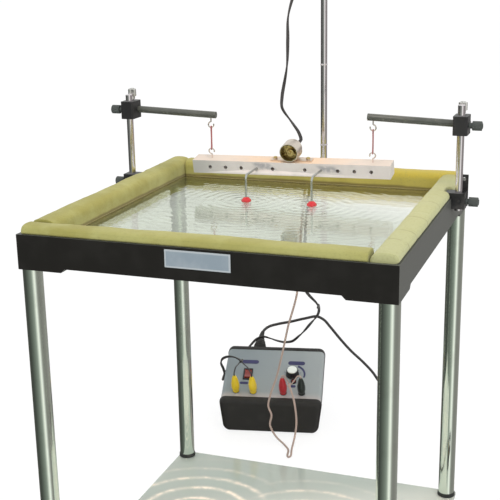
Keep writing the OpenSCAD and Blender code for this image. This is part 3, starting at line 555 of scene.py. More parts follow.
@dataclass(frozen=True)
class BeamPaint(Finish):
    """Cream paint on the beam, pale lilac on its faces with painted shade towards the left end, painted
    warm lamp light on top, and grey patches beside the dippers' roots.
    """

    face: Colour = (0.90, 0.84, 0.79)
    shaded: Colour = (0.50, 0.50, 0.46)
    # The top colours are painted warm lamp light.
    top: Colour = (0.76, 0.64, 0.53)
    lit_top: Colour = (0.82, 0.55, 0.31)
    grey_mark: Colour = (0.34, 0.34, 0.36)
    grey_patch_x: tuple[float, float] = (-37.0, 61.0)

    def sockets(self, s: Shader) -> dict[str, Any]:
        """Returns the Principled sockets of this finish."""
        normal = s.node("ShaderNodeNewGeometry", out="True Normal")
        up = s.parts(normal)[2].step(0.5, 0.9)
        x, _, z = s.parts(s.place((1000, 1000, 1000)))
        grain = s.cloud(4, 4, (0.08, 1, 1))
        patches = s.cloud(26, 4)
        # Painted shade: the faces darken towards the left end.
        face = s.mix(x.step(-150.0, -70.0), self.shaded, self.face)
        # Painted warm lamp light on the top face, strongest over the middle.
        top = s.mix((1 - x.math("ABSOLUTE").step(20.0, 120.0)) * 0.85, self.top, self.lit_top)
        base = s.mix(up, face, top)
        base = s.mix(patches.step(0.45, 0.75) * 0.3, base, (0.52, 0.5, 0.46))
        # Grey patches just right of each dipper's root.
        for centre in self.grey_patch_x:
            spot = (x + z * 1.2).band(centre + 668.0, 13.0, 5.0) * z.band(556.0, 4.2, 3.0)
            spot = spot * (1 - up) * s.cloud(6, 3).step(0.2, 0.55)
            base = s.mix(spot * 0.85, base, self.grey_mark)
        point = s.node("ShaderNodeNewGeometry", out="Pointiness")
        base = s.mix(point.step(0.52, 0.6) * 0.3, base, self.grey_mark)
        return {
            "Base Color": base,
            "Roughness": grain * 0.2 + 0.38,
            "Normal": s.bump(grain, 0.12, 0.5),
        }


@dataclass(frozen=True)
class PlateFace(Finish):
    """The bare plate: pale satin metal, with a painted highlight that makes it lighter along its rim."""

    middle: Colour = (0.33, 0.40, 0.46)
    rim: Colour = (0.56, 0.61, 0.64)
    half: tuple[float, float] = (41.5, 11.0)
    centre: tuple[float, float] = (2.0, 513.0)

    def sockets(self, s: Shader) -> dict[str, Any]:
        """Returns the Principled sockets of this finish."""
        x, _, z = s.parts(s.place((1000, 1000, 1000)))
        inside_x = x.band(self.centre[0], self.half[0] - 2.0, 0.5)
        inside_z = z.band(self.centre[1], self.half[1] - 2.0, 0.5)
        grain = s.cloud(2.5, 4, (0.06, 1, 1))
        # Painted highlight: a lighter border round the plate's rim.
        base = s.mix(inside_x * inside_z, self.rim, self.middle)
        base = s.mix(s.cloud(25, 4).step(0.4, 0.7) * 0.3, base, self.rim)
        return {
            "Base Color": base,
            "Metallic": 0.35,
            "Roughness": grain * 0.2 + 0.3,
            "Normal": s.bump(grain, 0.03, 0.4),
        }


@dataclass(frozen=True)
class PanelFace(Finish):
    """The unit's painted shell, with painted light that makes it paler towards its right side and its front
    edge.
    """

    left: Colour = (0.205, 0.245, 0.26)
    right: Colour = (0.33, 0.36, 0.36)
    front: Colour = (0.46, 0.40, 0.38)
    unit: Matrix = field(default_factory=Matrix)

    def sockets(self, s: Shader) -> dict[str, Any]:
        """Returns the Principled sockets of this finish."""
        turn = self.unit.to_euler()
        centre = self.unit.to_translation() * MM
        here = s.place((1000, 1000, 1000), centre)
        level = s.node(
            "ShaderNodeVectorRotate",
            {"rotation_type": "Z_AXIS"},
            {"Vector": here, "Angle": -turn.z},
        )
        x, y, _ = s.parts(level)
        patches = s.cloud(30, 4)
        # Painted light: paler towards the right side.
        base = s.mix(x.step(-90.0, 95.0) * 0.8 + patches * 0.2, self.left, self.right)
        # Painted light: paler along the front edge.
        base = s.mix((1 - y.step(9.0, 26.0)) * 0.7, base, self.front)
        return {
            "Base Color": base,
            "Roughness": patches * 0.15 + 0.34,
            "Normal": s.bump(s.cloud(0.9, 2), 0.05, 0.5),
        }


@dataclass(frozen=True)
class Sheath(Finish):
    """A lead's insulation, with the wire showing through where it is clear."""

    colour: Colour = (0.025, 0.022, 0.022)
    strand: Colour = (0.45, 0.24, 0.16)
    shows: float = 0.0
    rough: float = 0.38

    def sockets(self, s: Shader) -> dict[str, Any]:
        """Returns the Principled sockets of this finish."""
        x, y, z = s.parts(s.place((1000, 1000, 1000)))
        twist = ((x + y) * 1.1 + z * 1.7).math("SINE") * 0.5 + 0.5
        patches = s.cloud(18, 4)
        return {
            "Base Color": s.mix(
                (twist * 0.6 + patches * 0.4) * self.shows, self.colour, self.strand
            ),
            "Roughness": patches * 0.2 + (self.rough - 0.1),
            "Coat Weight": 0.2,
            "Normal": s.bump(s.cloud(1.5, 3), 0.08, 0.4),
        }


class Stock:
    """The finishes of the part, each named for what wears it."""

    LEG = Metal("leg_chrome_worn", "leg_chrome", (0.83, 0.90, 0.81), 0.10, 5.0)
    ROD = Metal("rod_chrome_worn", "rod_chrome", (0.90, 0.84, 0.88), 0.12, 3.0)
    STEEL = Metal("bright_steel_turned", "bright_steel", (0.86, 0.84, 0.82), 0.2, 1.2)
    HOOK = Metal("hook_wire", "rod_chrome", (0.84, 0.74, 0.70), 0.22, 1.5, (1, 1, 1))
    DIP = Metal("dipper_wire", "rod_chrome", (0.56, 0.57, 0.54), 0.2, 1.5, (1, 1, 1))
    ARM = Paint(
        "arm_grey_lacquer", "arm_grey", (0.075, 0.08, 0.07), (0.3, 0.29, 0.27), 0.5, 0.3
    )
    # The frame's paint carries a painted sheen on faces seen edge-on.
    FRAME = Paint(
        "frame_black_paint", "frame_black", (0.0125, 0.0115, 0.0098), wear=0.02, rough=0.42,
        mottle=0.03, level=0.22, painted_sheen_weight=0.56, patchy=0.03,
    )
    CLAMP = Paint("clamp_black_paint", "clamp_black", (0.014, 0.014, 0.015), wear=0.3, rough=0.4)
    HOOD = Paint("hood_black_paint", "hood_black", (0.02, 0.019, 0.018), rough=0.45)
    KNOB = Plastic("knob_grey_knurl", "knob_grey", (0.075, 0.085, 0.08), rough=0.42)
    FERRULE = Plastic("ferrule_rubber_matt", "ferrule_rubber", (0.03, 0.032, 0.03), rough=0.7)
    FOAM = Foam("foam_yellow_cells", "foam_yellow")
    GLASS = Glass("glass_sheet", "glass_clear", (0.93, 0.97, 0.95), 1.5)
    # The far colour is painted light on the water.
    WATER = Glass(
        "still_water", "glass_clear", (0.735, 0.76, 0.665), 1.33, smear=0.05,
        far=(0.99, 0.985, 0.94),
    )
    SCREEN = RippleScreen("screen_rings", "screen_white")
    PLATE = PlateFace("plate_bare", "plate_grey")
    BEAM = BeamPaint("beam_cream_paint", "beam_cream")
    BALL = Plastic(
        "ball_red_gloss", "ball_red", (0.62, 0.012, 0.02), (0.9, 0.3, 0.3), 0.1, 0.22, 3.0, 0.02, 0.6
    )
    BAND = Plastic("band_rubber", "band_red", (0.42, 0.13, 0.13), rough=0.5)
    CAN = Metal(
        "motor_can_plate", "motor_plated", (0.80, 0.70, 0.62), 0.34, 1.0, (1, 0.05, 1)
    )
    BRASS = Metal(
        "motor_brass_dull", "motor_brass", (0.62, 0.47, 0.20), 0.34, 1.0, (1, 1, 1),
        (0.20, 0.15, 0.06), 0.6,
    )
    MOUTH = Metal(
        "motor_mouth_tarnish", "motor_brass", (0.20, 0.155, 0.06), 0.42, 1.2, (1, 1, 1),
        (0.07, 0.055, 0.025), 0.7,
    )
    SADDLE = Metal("saddle_strip", "saddle_steel", (0.80, 0.66, 0.55), 0.35, 1.0, (1, 1, 1))
    BEZEL = Plastic(
        "bezel_dark_moulding", "bezel_dark", (0.0145, 0.0125, 0.011), dusty=0.015, rough=0.46
    )
    ROCKER = Plastic(
        "rocker_red_lens", "rocker_red", (0.24, 0.022, 0.014), rough=0.25, coat=0.4
    )
    RIM = Plastic("rocker_rim_black", "dial_black", (0.012, 0.01, 0.014), rough=0.4)
    DIAL = Plastic("dial_black_skirt", "dial_black", (0.012, 0.012, 0.014), rough=0.36)
    CAP = Metal("dial_silver_cap", "bright_steel", (0.90, 0.92, 0.87), 0.3, 0.8, (1, 1, 1))
    MARK = Plastic("panel_marks_blue", "dial_black", (0.035, 0.035, 0.12), rough=0.5)
    YELLOW = Plastic(
        "plug_yellow_shell", "plug_yellow", (0.78, 0.56, 0.015), rough=0.34, coat=0.2
    )
    RED = Plastic("plug_red_shell", "plug_red", (0.45, 0.018, 0.025), rough=0.34, coat=0.2)
    DARK = Plastic("plug_dark_shell", "plug_black", (0.016, 0.024, 0.02), rough=0.34, coat=0.2)
    MAINS = Plastic("mains_plug_shell", "plug_black", (0.02, 0.02, 0.02), rough=0.42)
    LEAD = Sheath("lead_black_sheath", "lead_black")
    CLEAR = Sheath(
        "lead_clear_sheath", "lead_clear", (0.42, 0.34, 0.30), (0.36, 0.21, 0.15), shows=0.6
    )
    IRON = Metal("transformer_iron", "transformer_iron", (0.2, 0.18, 0.17), 0.5, 2.0)
    BULB = Glass("bulb_glass_frost", "bulb_glass", (0.98, 0.97, 0.93), 1.45, 0.15)


# ---------------------------------------------------------------- modelling


class Form:
    """A mesh under construction, made of closed parts that bmesh operators shape.

    Lengths are millimetres until the form becomes a piece.
    """

    def __init__(self) -> None:
        """Starts an empty form."""
        self.bm = bmesh.new()

    def take(self, part: bmesh.types.BMesh, place: Matrix) -> "Form":
        """Adds a finished part at a place and frees it."""
        bmesh.ops.remove_doubles(part, verts=part.verts, dist=1e-4)
        bmesh.ops.recalc_face_normals(part, faces=part.faces)
        part.transform(place)
        mesh = bpy.data.meshes.new("part")
        part.to_mesh(mesh)
        part.free()
        self.bm.from_mesh(mesh)
        bpy.data.meshes.remove(mesh)
        return self

    def block(
        self, size: Point, place: Matrix = Matrix(), edge: float = 0.0, steps: int = 2
    ) -> "Form":
        """Adds a block centred on its place, with rounded edges.

        Args:
            size: Its lengths along X, Y and Z.
            place: Where its middle goes.
            edge: The radius of its edges.
            steps: The segments across each rounded edge.

        Returns:
            This form.
        """
        part = bmesh.new()
        bmesh.ops.create_cube(part, size=1, matrix=Matrix.Diagonal((*size, 1)))
        round_edges(part, part.edges, edge, steps)
        return self.take(part, place)

    def lathe(
        self, outline: Sequence[Point], place: Matrix = Matrix(), steps: int = 40
    ) -> "Form":
        """Adds a turned part from (radius, height) points, open or closed at the axis."""
        part = bmesh.new()
        rim = [part.verts.new((r, 0, h)) for r, h in outline]
        edges = [part.edges.new(pair) for pair in zip(rim, rim[1:])]
        bmesh.ops.spin(
            part, geom=rim + edges, cent=(0, 0, 0), axis=(0, 0, 1), angle=FULL_TURN,
            steps=steps, use_merge=True,
        )
        return self.take(part, place)

    def prism(
        self, outline: Sequence[Point], height: float, place: Matrix = Matrix(),
        edge: float = 0.0, steps: int = 2,
    ) -> "Form":
        """Adds a prism that stands on its outline, with the two rims rounded.

        Args:
            outline: The corners of its section in X and Y.
            height: Its length along +Z.
            place: Where its foot goes.
            edge: The radius of its end rims.
            steps: The segments across each rounded rim.

        Returns:
            This form.
        """
        part = bmesh.new()
        foot = part.faces.new([part.verts.new((x, y, 0)) for x, y in outline])
        grown = bmesh.ops.extrude_face_region(part, geom=[foot], use_keep_orig=True)
        top = [g for g in grown["geom"] if isinstance(g, bmesh.types.BMVert)]
        bmesh.ops.translate(part, vec=(0, 0, height), verts=top)
        if edge:
            rims = [e for e in part.edges if abs(e.verts[0].co.z - e.verts[1].co.z) < 1e-6]
            round_edges(part, rims, edge, steps)
        return self.take(part, place)

    def knurl(
        self, diameter: float, length: float, place: Matrix = Matrix(), ridges: int = 26,
        depth: float = 0.5, edge: float = 0.6,
    ) -> "Form":
        """Adds a ridged round grip that stands on its place."""
        outline = [
            (r * math.cos(a), r * math.sin(a))
            for k in range(2 * ridges)
            for r in [diameter / 2 - (depth if k % 2 else 0)]
            for a in [math.pi * k / ridges]
        ]
        return self.prism(outline, length, place, edge, 2)

    def tube(self, path: Sequence[Point], diameter: float, sides: int = 3) -> "Form":
        """Adds a round tube along points in millimetres."""
        mesh = tube_mesh([Vector(p) for p in path], diameter, sides)
        self.bm.from_mesh(mesh)
        bpy.data.meshes.remove(mesh)
        return self

    def sleeve(
        self, path: Sequence[Vector], outline: Sequence[Point], steps: int
    ) -> "Form":
        """Adds a turned sleeve that follows a path.

        Args:
            path: The path in millimetres.
            outline: Its (distance along the path, radius) points.
            steps: The corners of its round section.

        Returns:
            This form.
        """
        part = bmesh.new()
        loops = []
        for far, radius in outline:
            centre, way = path_place(path, far)
            turn = way.to_track_quat("Z", "Y").to_matrix().to_4x4()
            ring = bmesh.ops.create_circle(
                part, segments=steps, radius=radius, matrix=Matrix.Translation(centre) @ turn
            )["verts"]
            loops.append(sorted({e for v in ring for e in v.link_edges}, key=lambda e: e.index))
        for first, second in zip(loops, loops[1:]):
            bmesh.ops.bridge_loops(part, edges=first + second)
        for end in (loops[0], loops[-1]):
            bmesh.ops.contextual_create(part, geom=end)
        return self.take(part, Matrix())

    def copy_of(self, node: str, edge: float, steps: int = 2) -> "Form":
        """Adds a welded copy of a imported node, with its sharp edges rounded."""
        part = bmesh.new()
        part.from_mesh(node_object(node).data)
        part.transform(Matrix.Scale(1 / MM, 4))
        bmesh.ops.remove_doubles(part, verts=part.verts, dist=0.002)
        bmesh.ops.dissolve_limit(
            part, angle_limit=math.radians(0.6), verts=part.verts, edges=part.edges
        )
        sharp = [
            e for e in part.edges
            if len(e.link_faces) == 2 and e.calc_face_angle(0) > SHARP_EDGE
        ]
        round_edges(part, sharp, edge, steps)
        return self.take(part, Matrix())

    def piece(
        self, name: str, body: Body, finish: Finish, *nodes: str, ride: bool = True
    ) -> bpy.types.Object:
        """Makes the form a piece of the part.

        Args:
            name: The piece's name.
            body: The body it rides on.
            finish: The finish it wears.
            nodes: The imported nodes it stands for.
            ride: Whether it rides on the body here, or is blended later.

        Returns:
            The new object, at the origin with its place in its mesh.
        """
        self.bm.transform(Matrix.Scale(MM, 4))
        for face in self.bm.faces:
            face.smooth = True
        mesh = bpy.data.meshes.new(name)
        self.bm.to_mesh(mesh)
        self.bm.free()
        mesh.set_sharp_from_angle(angle=SHARP_EDGE)
        return add_mesh(name, mesh, body, finish, nodes, ride)


def round_edges(
    part: bmesh.types.BMesh, edges: Iterable[bmesh.types.BMEdge], radius: float, steps: int
) -> None:
    """Rounds edges of a part, where the radius is not zero."""
    if radius > 0:
        bmesh.ops.bevel(
            part, geom=list(edges), offset=radius, segments=steps, profile=0.5,
            affect="EDGES", material=-1, clamp_overlap=True,
        )


def add_mesh(
    name: str, mesh: bpy.types.Mesh, body: Body, finish: Finish, nodes: Sequence[str],
    ride: bool = True,
) -> bpy.types.Object:
    """Puts a finished mesh in the scene as a piece.

    Args:
        name: The piece's name.
        mesh: Its mesh, in metres.
        body: The body it rides on.
        finish: The finish it wears.
        nodes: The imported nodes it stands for.
        ride: Whether it rides on the body here.

    Returns:
        The new object.
    """
    mesh.materials.clear()
    mesh.materials.append(finish.material())
    piece = bpy.data.objects.new(name, mesh)
    bpy.context.scene.collection.objects.link(piece)
    even = piece.modifiers.new("even_normals", "WEIGHTED_NORMAL")
    even.keep_sharp = True
    if ride:
        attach(piece, body.value)
    if nodes:
        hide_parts(*nodes)
    log.info("piece %s on %s, %d faces", name, body.value, len(mesh.polygons))
    return piece


def node_object(node: str) -> bpy.types.Object:
    """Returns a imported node's object."""
    return FRAME["nodes"][node]


@cache
def node_box(node: str) -> tuple[Vector, Vector]:
    """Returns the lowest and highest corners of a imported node, in millimetres."""
    low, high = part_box(node)
    return Vector(low) / MM, Vector(high) / MM


def node_middle(node: str) -> Vector:
    """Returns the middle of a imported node's box, in millimetres."""
    low, high = node_box(node)
    return (low + high) / 2


def keep(finish: Finish, *nodes: str) -> None:
    """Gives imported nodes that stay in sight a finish."""
    for node in nodes:
        for slot in node_object(node).material_slots:
            slot.material = finish.material()
        log.info("node %s kept with %s", node, finish.name)


def smooth_path(points: Sequence[Point], step: float) -> list[Vector]:
    """Returns points along a smooth curve through the given ones.

    Args:
        points: The chosen points, in order.
        step: The greatest distance between two points of the result.

    Returns:
        The dense path, ends included.
    """
    p = [Vector(q) for q in points]
    gap = [(b - a).length for a, b in zip(p, p[1:])]
    lean = [(b - a) / g for a, b, g in zip(p, p[1:], gap)]
    heading = [lean[0]]
    for k in range(1, len(p) - 1):
        heading.append((lean[k - 1] * gap[k] + lean[k] * gap[k - 1]) / (gap[k - 1] + gap[k]))
    heading.append(lean[-1])
    pull = [1.4 * min(pair) for pair in zip(gap[:1] + gap, gap + gap[-1:])]
    path = [p[0]]
    for k, length in enumerate(gap):
        steps = max(1, math.ceil(length / step))
        leave = heading[k] * min(length, pull[k])
        reach = heading[k + 1] * min(length, pull[k + 1])
        for i in range(1, steps + 1):
            t = i / steps
            path.append(
                p[k] * (2 * t**3 - 3 * t**2 + 1)
                + leave * (t**3 - 2 * t**2 + t)
                + p[k + 1] * (3 * t**2 - 2 * t**3)
                + reach * (t**3 - t**2)
            )
    return path


def path_place(path: Sequence[Vector], far: float) -> tuple[Vector, Vector]:
    """Returns the point at a distance along a path and the path's direction there."""
    for a, b in zip(path, path[1:]):
        step = (b - a).length
        if far <= step:
            return a.lerp(b, far / step), (b - a).normalized()
        far -= step
    return path[-1], (path[-1] - path[-2]).normalized()


def path_length(path: Sequence[Vector]) -> float:
    """Returns the length of a path."""
    return sum((b - a).length for a, b in zip(path, path[1:]))


def cord_curve(name: str, path: Sequence[Vector], diameter: float) -> bpy.types.Object:
    """Returns a curve of one open spline with a round section, in the scene."""
    curve = bpy.data.curves.new(name, "CURVE")
    curve.dimensions = "3D"
    curve.bevel_depth = diameter / 2
    curve.bevel_resolution = 3
    curve.use_fill_caps = True
    spline = curve.splines.new("POLY")
    spline.points.add(len(path) - 1)
    for point, place in zip(spline.points, path):
        point.co = (*place, 1)
    made = bpy.data.objects.new(name, curve)
    bpy.context.scene.collection.objects.link(made)
    return made


def twin_section(width: float) -> bpy.types.Object:
    """Returns the closed outline of a flat twin flex, two cores side by side."""
    core = width * 0.27
    outline = []
    for side in (1, -1):
        for k in range(9):
            a = math.radians(-118 + 236 * k / 8)
            outline.append((side * (width / 2 - core + core * math.cos(a)), side * core * math.sin(a)))
    curve = bpy.data.curves.new("twin_section", "CURVE")
    spline = curve.splines.new("POLY")
    spline.points.add(len(outline) - 1)
    for point, (x, y) in zip(spline.points, outline):
        point.co = (x, y, 0, 1)
    spline.use_cyclic_u = True
    made = bpy.data.objects.new("twin_section", curve)
    bpy.context.scene.collection.objects.link(made)
    return made


def tube_mesh(
    path: Sequence[Vector], diameter: float, sides: int = 3, twist: float = 0.0
) -> bpy.types.Mesh:
    """Makes the mesh of a lead along a path, in the path's unit.

    Args:
        path: The line that it follows.
        diameter: Its diameter, or the width of a twin flex.
        sides: The resolution of its round section.
        twist: The turn of a twin flex in each unit of length, or 0 for a round lead.

    Returns:
        The mesh.
    """
    made = cord_curve("tube", path, diameter)
    made.data.bevel_resolution = sides
    section = None
    if twist:
        section = twin_section(diameter)
        made.data.bevel_mode = "OBJECT"
        made.data.bevel_object = section
        far = 0.0
        points = made.data.splines[0].points
        for k, point in enumerate(points):
            far += (path[k] - path[k - 1]).length if k else 0.0
            point.tilt = far * twist
    bpy.context.view_layer.update()
    mesh = bpy.data.meshes.new_from_object(
        made.evaluated_get(bpy.context.evaluated_depsgraph_get())
    )
    for spare in filter(None, (made, section)):
        curve = spare.data
        bpy.data.objects.remove(spare)
        bpy.data.curves.remove(curve)
    return mesh


# ---------------------------------------------------------------- camera and studio


@dataclass
class Camera:
    """The photograph's camera, recovered from the straight edges of the tank."""

    place: Point = (465.12, -1326.92, 857.66)
    yaw: float = -20.09
    pitch: float = 15.747
    roll: float = -1.014
    focal_px: float = 1057.49
    picture_px: float = 500.0
    sensor: float = 36.0

    def axes(self) -> tuple[Vector, Vector, Vector]:
        """Returns the camera's right, up and forward directions."""
        yaw, pitch, roll = (math.radians(v) for v in (self.yaw, self.pitch, self.roll))
        forward = Vector(
            (math.sin(yaw) * math.cos(pitch), math.cos(yaw) * math.cos(pitch), -math.sin(pitch))
        )
        right = Vector((math.cos(yaw), -math.sin(yaw), 0))
        up = right.cross(forward)
        level, upright = right.copy(), up.copy()
        right = level * math.cos(roll) + upright * math.sin(roll)
        up = upright * math.cos(roll) - level * math.sin(roll)
        return right, up, forward

    def build(self) -> bpy.types.Object:
        """Makes the camera and gives it to the scene."""
        right, up, forward = self.axes()
        data = bpy.data.cameras.new("camera")
        data.sensor_fit = "HORIZONTAL"
        data.sensor_width = self.sensor
        data.lens = self.focal_px * self.sensor / self.picture_px
        data.clip_end = 200
        data.dof.use_dof = False
        made = bpy.data.objects.new("camera", data)
        turn = Matrix((right, up, -forward)).transposed().to_4x4()
        made.matrix_world = Matrix.Translation(mm(*self.place)) @ turn
        bpy.context.scene.collection.objects.link(made)
        bpy.context.scene.camera = made
        return made


@dataclass
class Studio:
    """A pale floor, a white surround and two soft lights.

    Bright metal sees a banded surround, as it does between white sheets and dark stands.
    """

    floor_half: float = 60.0
    floor_colour: Colour = (0.97, 0.97, 0.97)
    key_watts: float = 24.0
    lamp_watts: float = 0.6
    across: Point = (0.939, 0.343, 0)
    towards: Point = (0.343, -0.939, 0)
    bands: tuple[tuple[float, Colour], ...] = (
        (0.0, (0.10, 0.10, 0.09)),
        (0.25, (0.058, 0.064, 0.058)),
        (0.344, (0.115, 0.13, 0.115)),
        (0.419, (0.19, 0.215, 0.19)),
        (0.475, (0.28, 0.31, 0.28)),
        (0.506, (0.50, 0.53, 0.49)),
        (0.54, (0.86, 0.88, 0.82)),
        (0.561, (1.0, 1.0, 0.95)),
        (0.588, (0.76, 0.77, 0.74)),
        (0.622, (0.34, 0.34, 0.32)),
        (0.662, (0.24, 0.235, 0.225)),
        (0.74, (0.24, 0.23, 0.22)),
        (0.83, (0.29, 0.28, 0.27)),
        (1.0, (0.36, 0.35, 0.34)),
    )

    def floor(self) -> None:
        """Lays the floor just under the part."""
        part = bmesh.new()
        bmesh.ops.create_grid(part, x_segments=1, y_segments=1, size=self.floor_half)
        bmesh.ops.translate(part, vec=(0, 0, -0.0004), verts=part.verts)
        mesh = bpy.data.meshes.new("floor")
        part.to_mesh(mesh)
        part.free()
        s = Shader("floor_pale")
        tone = s.mix(s.cloud(900, 2) * 0.2, self.floor_colour, (0.93, 0.93, 0.92))
        matt = s.surface({"Base Color": tone, "Roughness": 1.0, "Specular IOR Level": 0.0})
        glow = s.node("ShaderNodeEmission", {}, {"Color": (1, 1, 1, 1), "Strength": 1.04})
        s.finish(s.node("ShaderNodeMixShader", {}, {0: 0.78, 1: matt, 2: glow}))
        mesh.materials.append(s.material)
        made = bpy.data.objects.new("floor", mesh)
        made.visible_glossy = False
        bpy.context.scene.collection.objects.link(made)

    def surround(self) -> None:
        """Makes the white surround and its banded twin for reflections."""
        world = bpy.data.worlds.new("surround")
        world.use_nodes = True
        bpy.context.scene.world = world
        s = Shader("surround", world.node_tree)
        way = s.node("ShaderNodeTexCoord", out="Generated")
        side, front = (
            s.node("ShaderNodeVectorMath", {"operation": "DOT_PRODUCT"}, {0: way, 1: v}, "Value")
            for v in (self.across, self.towards)
        )
        turn = side.math("ARCTAN2", front) / FULL_TURN + 0.5
        low = s.ramp(turn, self.bands)
        height = s.parts(way)[2]
        seen = s.mix(height.step(0.0, 0.12), low, (0.86, 0.88, 0.86))
        glossy = s.node("ShaderNodeLightPath", out="Is Glossy Ray")
        colour = s.mix(glossy, (1.0, 1.0, 1.0), seen)
        light = s.node("ShaderNodeBackground", {}, {"Color": colour, "Strength": 1.0})
        s.node("ShaderNodeOutputWorld", {}, {"Surface": light})

    def light(self, name: str, place: Point, aim: Point, size: float, watts: float,
              colour: Colour) -> bpy.types.Object:
        """Adds a square soft light.

        Args:
            name: The light's name.
            place: Where it stands, in metres.
            aim: The point that it faces.
            size: The length of its side.
            watts: Its power.
            colour: Its colour.

        Returns:
            The light.
        """
        data = bpy.data.lights.new(name, "AREA")
        data.size = size
        data.energy = watts
        data.color = colour
        made = bpy.data.objects.new(name, data)
        made.location = place
        made.rotation_euler = (Vector(aim) - Vector(place)).to_track_quat("-Z", "Y").to_euler()
        made.visible_glossy = False
        bpy.context.scene.collection.objects.link(made)
        return made

    def build(self) -> None:
        """Makes the floor, the surround and the lights."""
        self.floor()
        self.surround()
        self.light("key", (1.5, -1.6, 2.7), (0, 0, 0.5), 1.6, self.key_watts, (1, 1, 1))
        self.light(
            "lamp_glow", (0.0035, 0, 0.9), (0.0035, 0, 0.5), 0.06, self.lamp_watts,
            (1.0, 0.82, 0.66),
        )
        bpy.context.scene.view_settings.view_transform = "Standard"
        bpy.context.scene.view_settings.look = "None"


# ---------------------------------------------------------------- leads


@dataclass
class UnitPlace:
    """Where the control unit stands, and places on its sloping panel."""

    origin: Point = (-120.0, 364.0)
    yaw: float = 12.3
    width: float = 186.0
    depth: float = 130.0
    front_h: float = 62.0
    rear_h: float = 123.0

    @property
    def slope(self) -> float:
        """The panel's slope."""
        return math.atan2(self.rear_h - self.front_h, self.depth)

    @property
    def base(self) -> Matrix:
        """The unit's own axes on the table."""
        return at(*self.origin, 0) @ Matrix.Rotation(math.radians(self.yaw), 4, "Z")

    def panel(self, x: float, y: float, h: float = 0.0) -> Matrix:
        """Returns the axes at a place on the panel, h above it."""
        tilt = Matrix.Rotation(self.slope, 4, "X")
        return self.base @ at(0, 0, self.front_h) @ tilt @ at(x, y, h)

    def slope_z(self, y: float) -> float:
        """Returns the panel's height above the table at a depth."""
        return self.front_h + y * math.tan(self.slope)


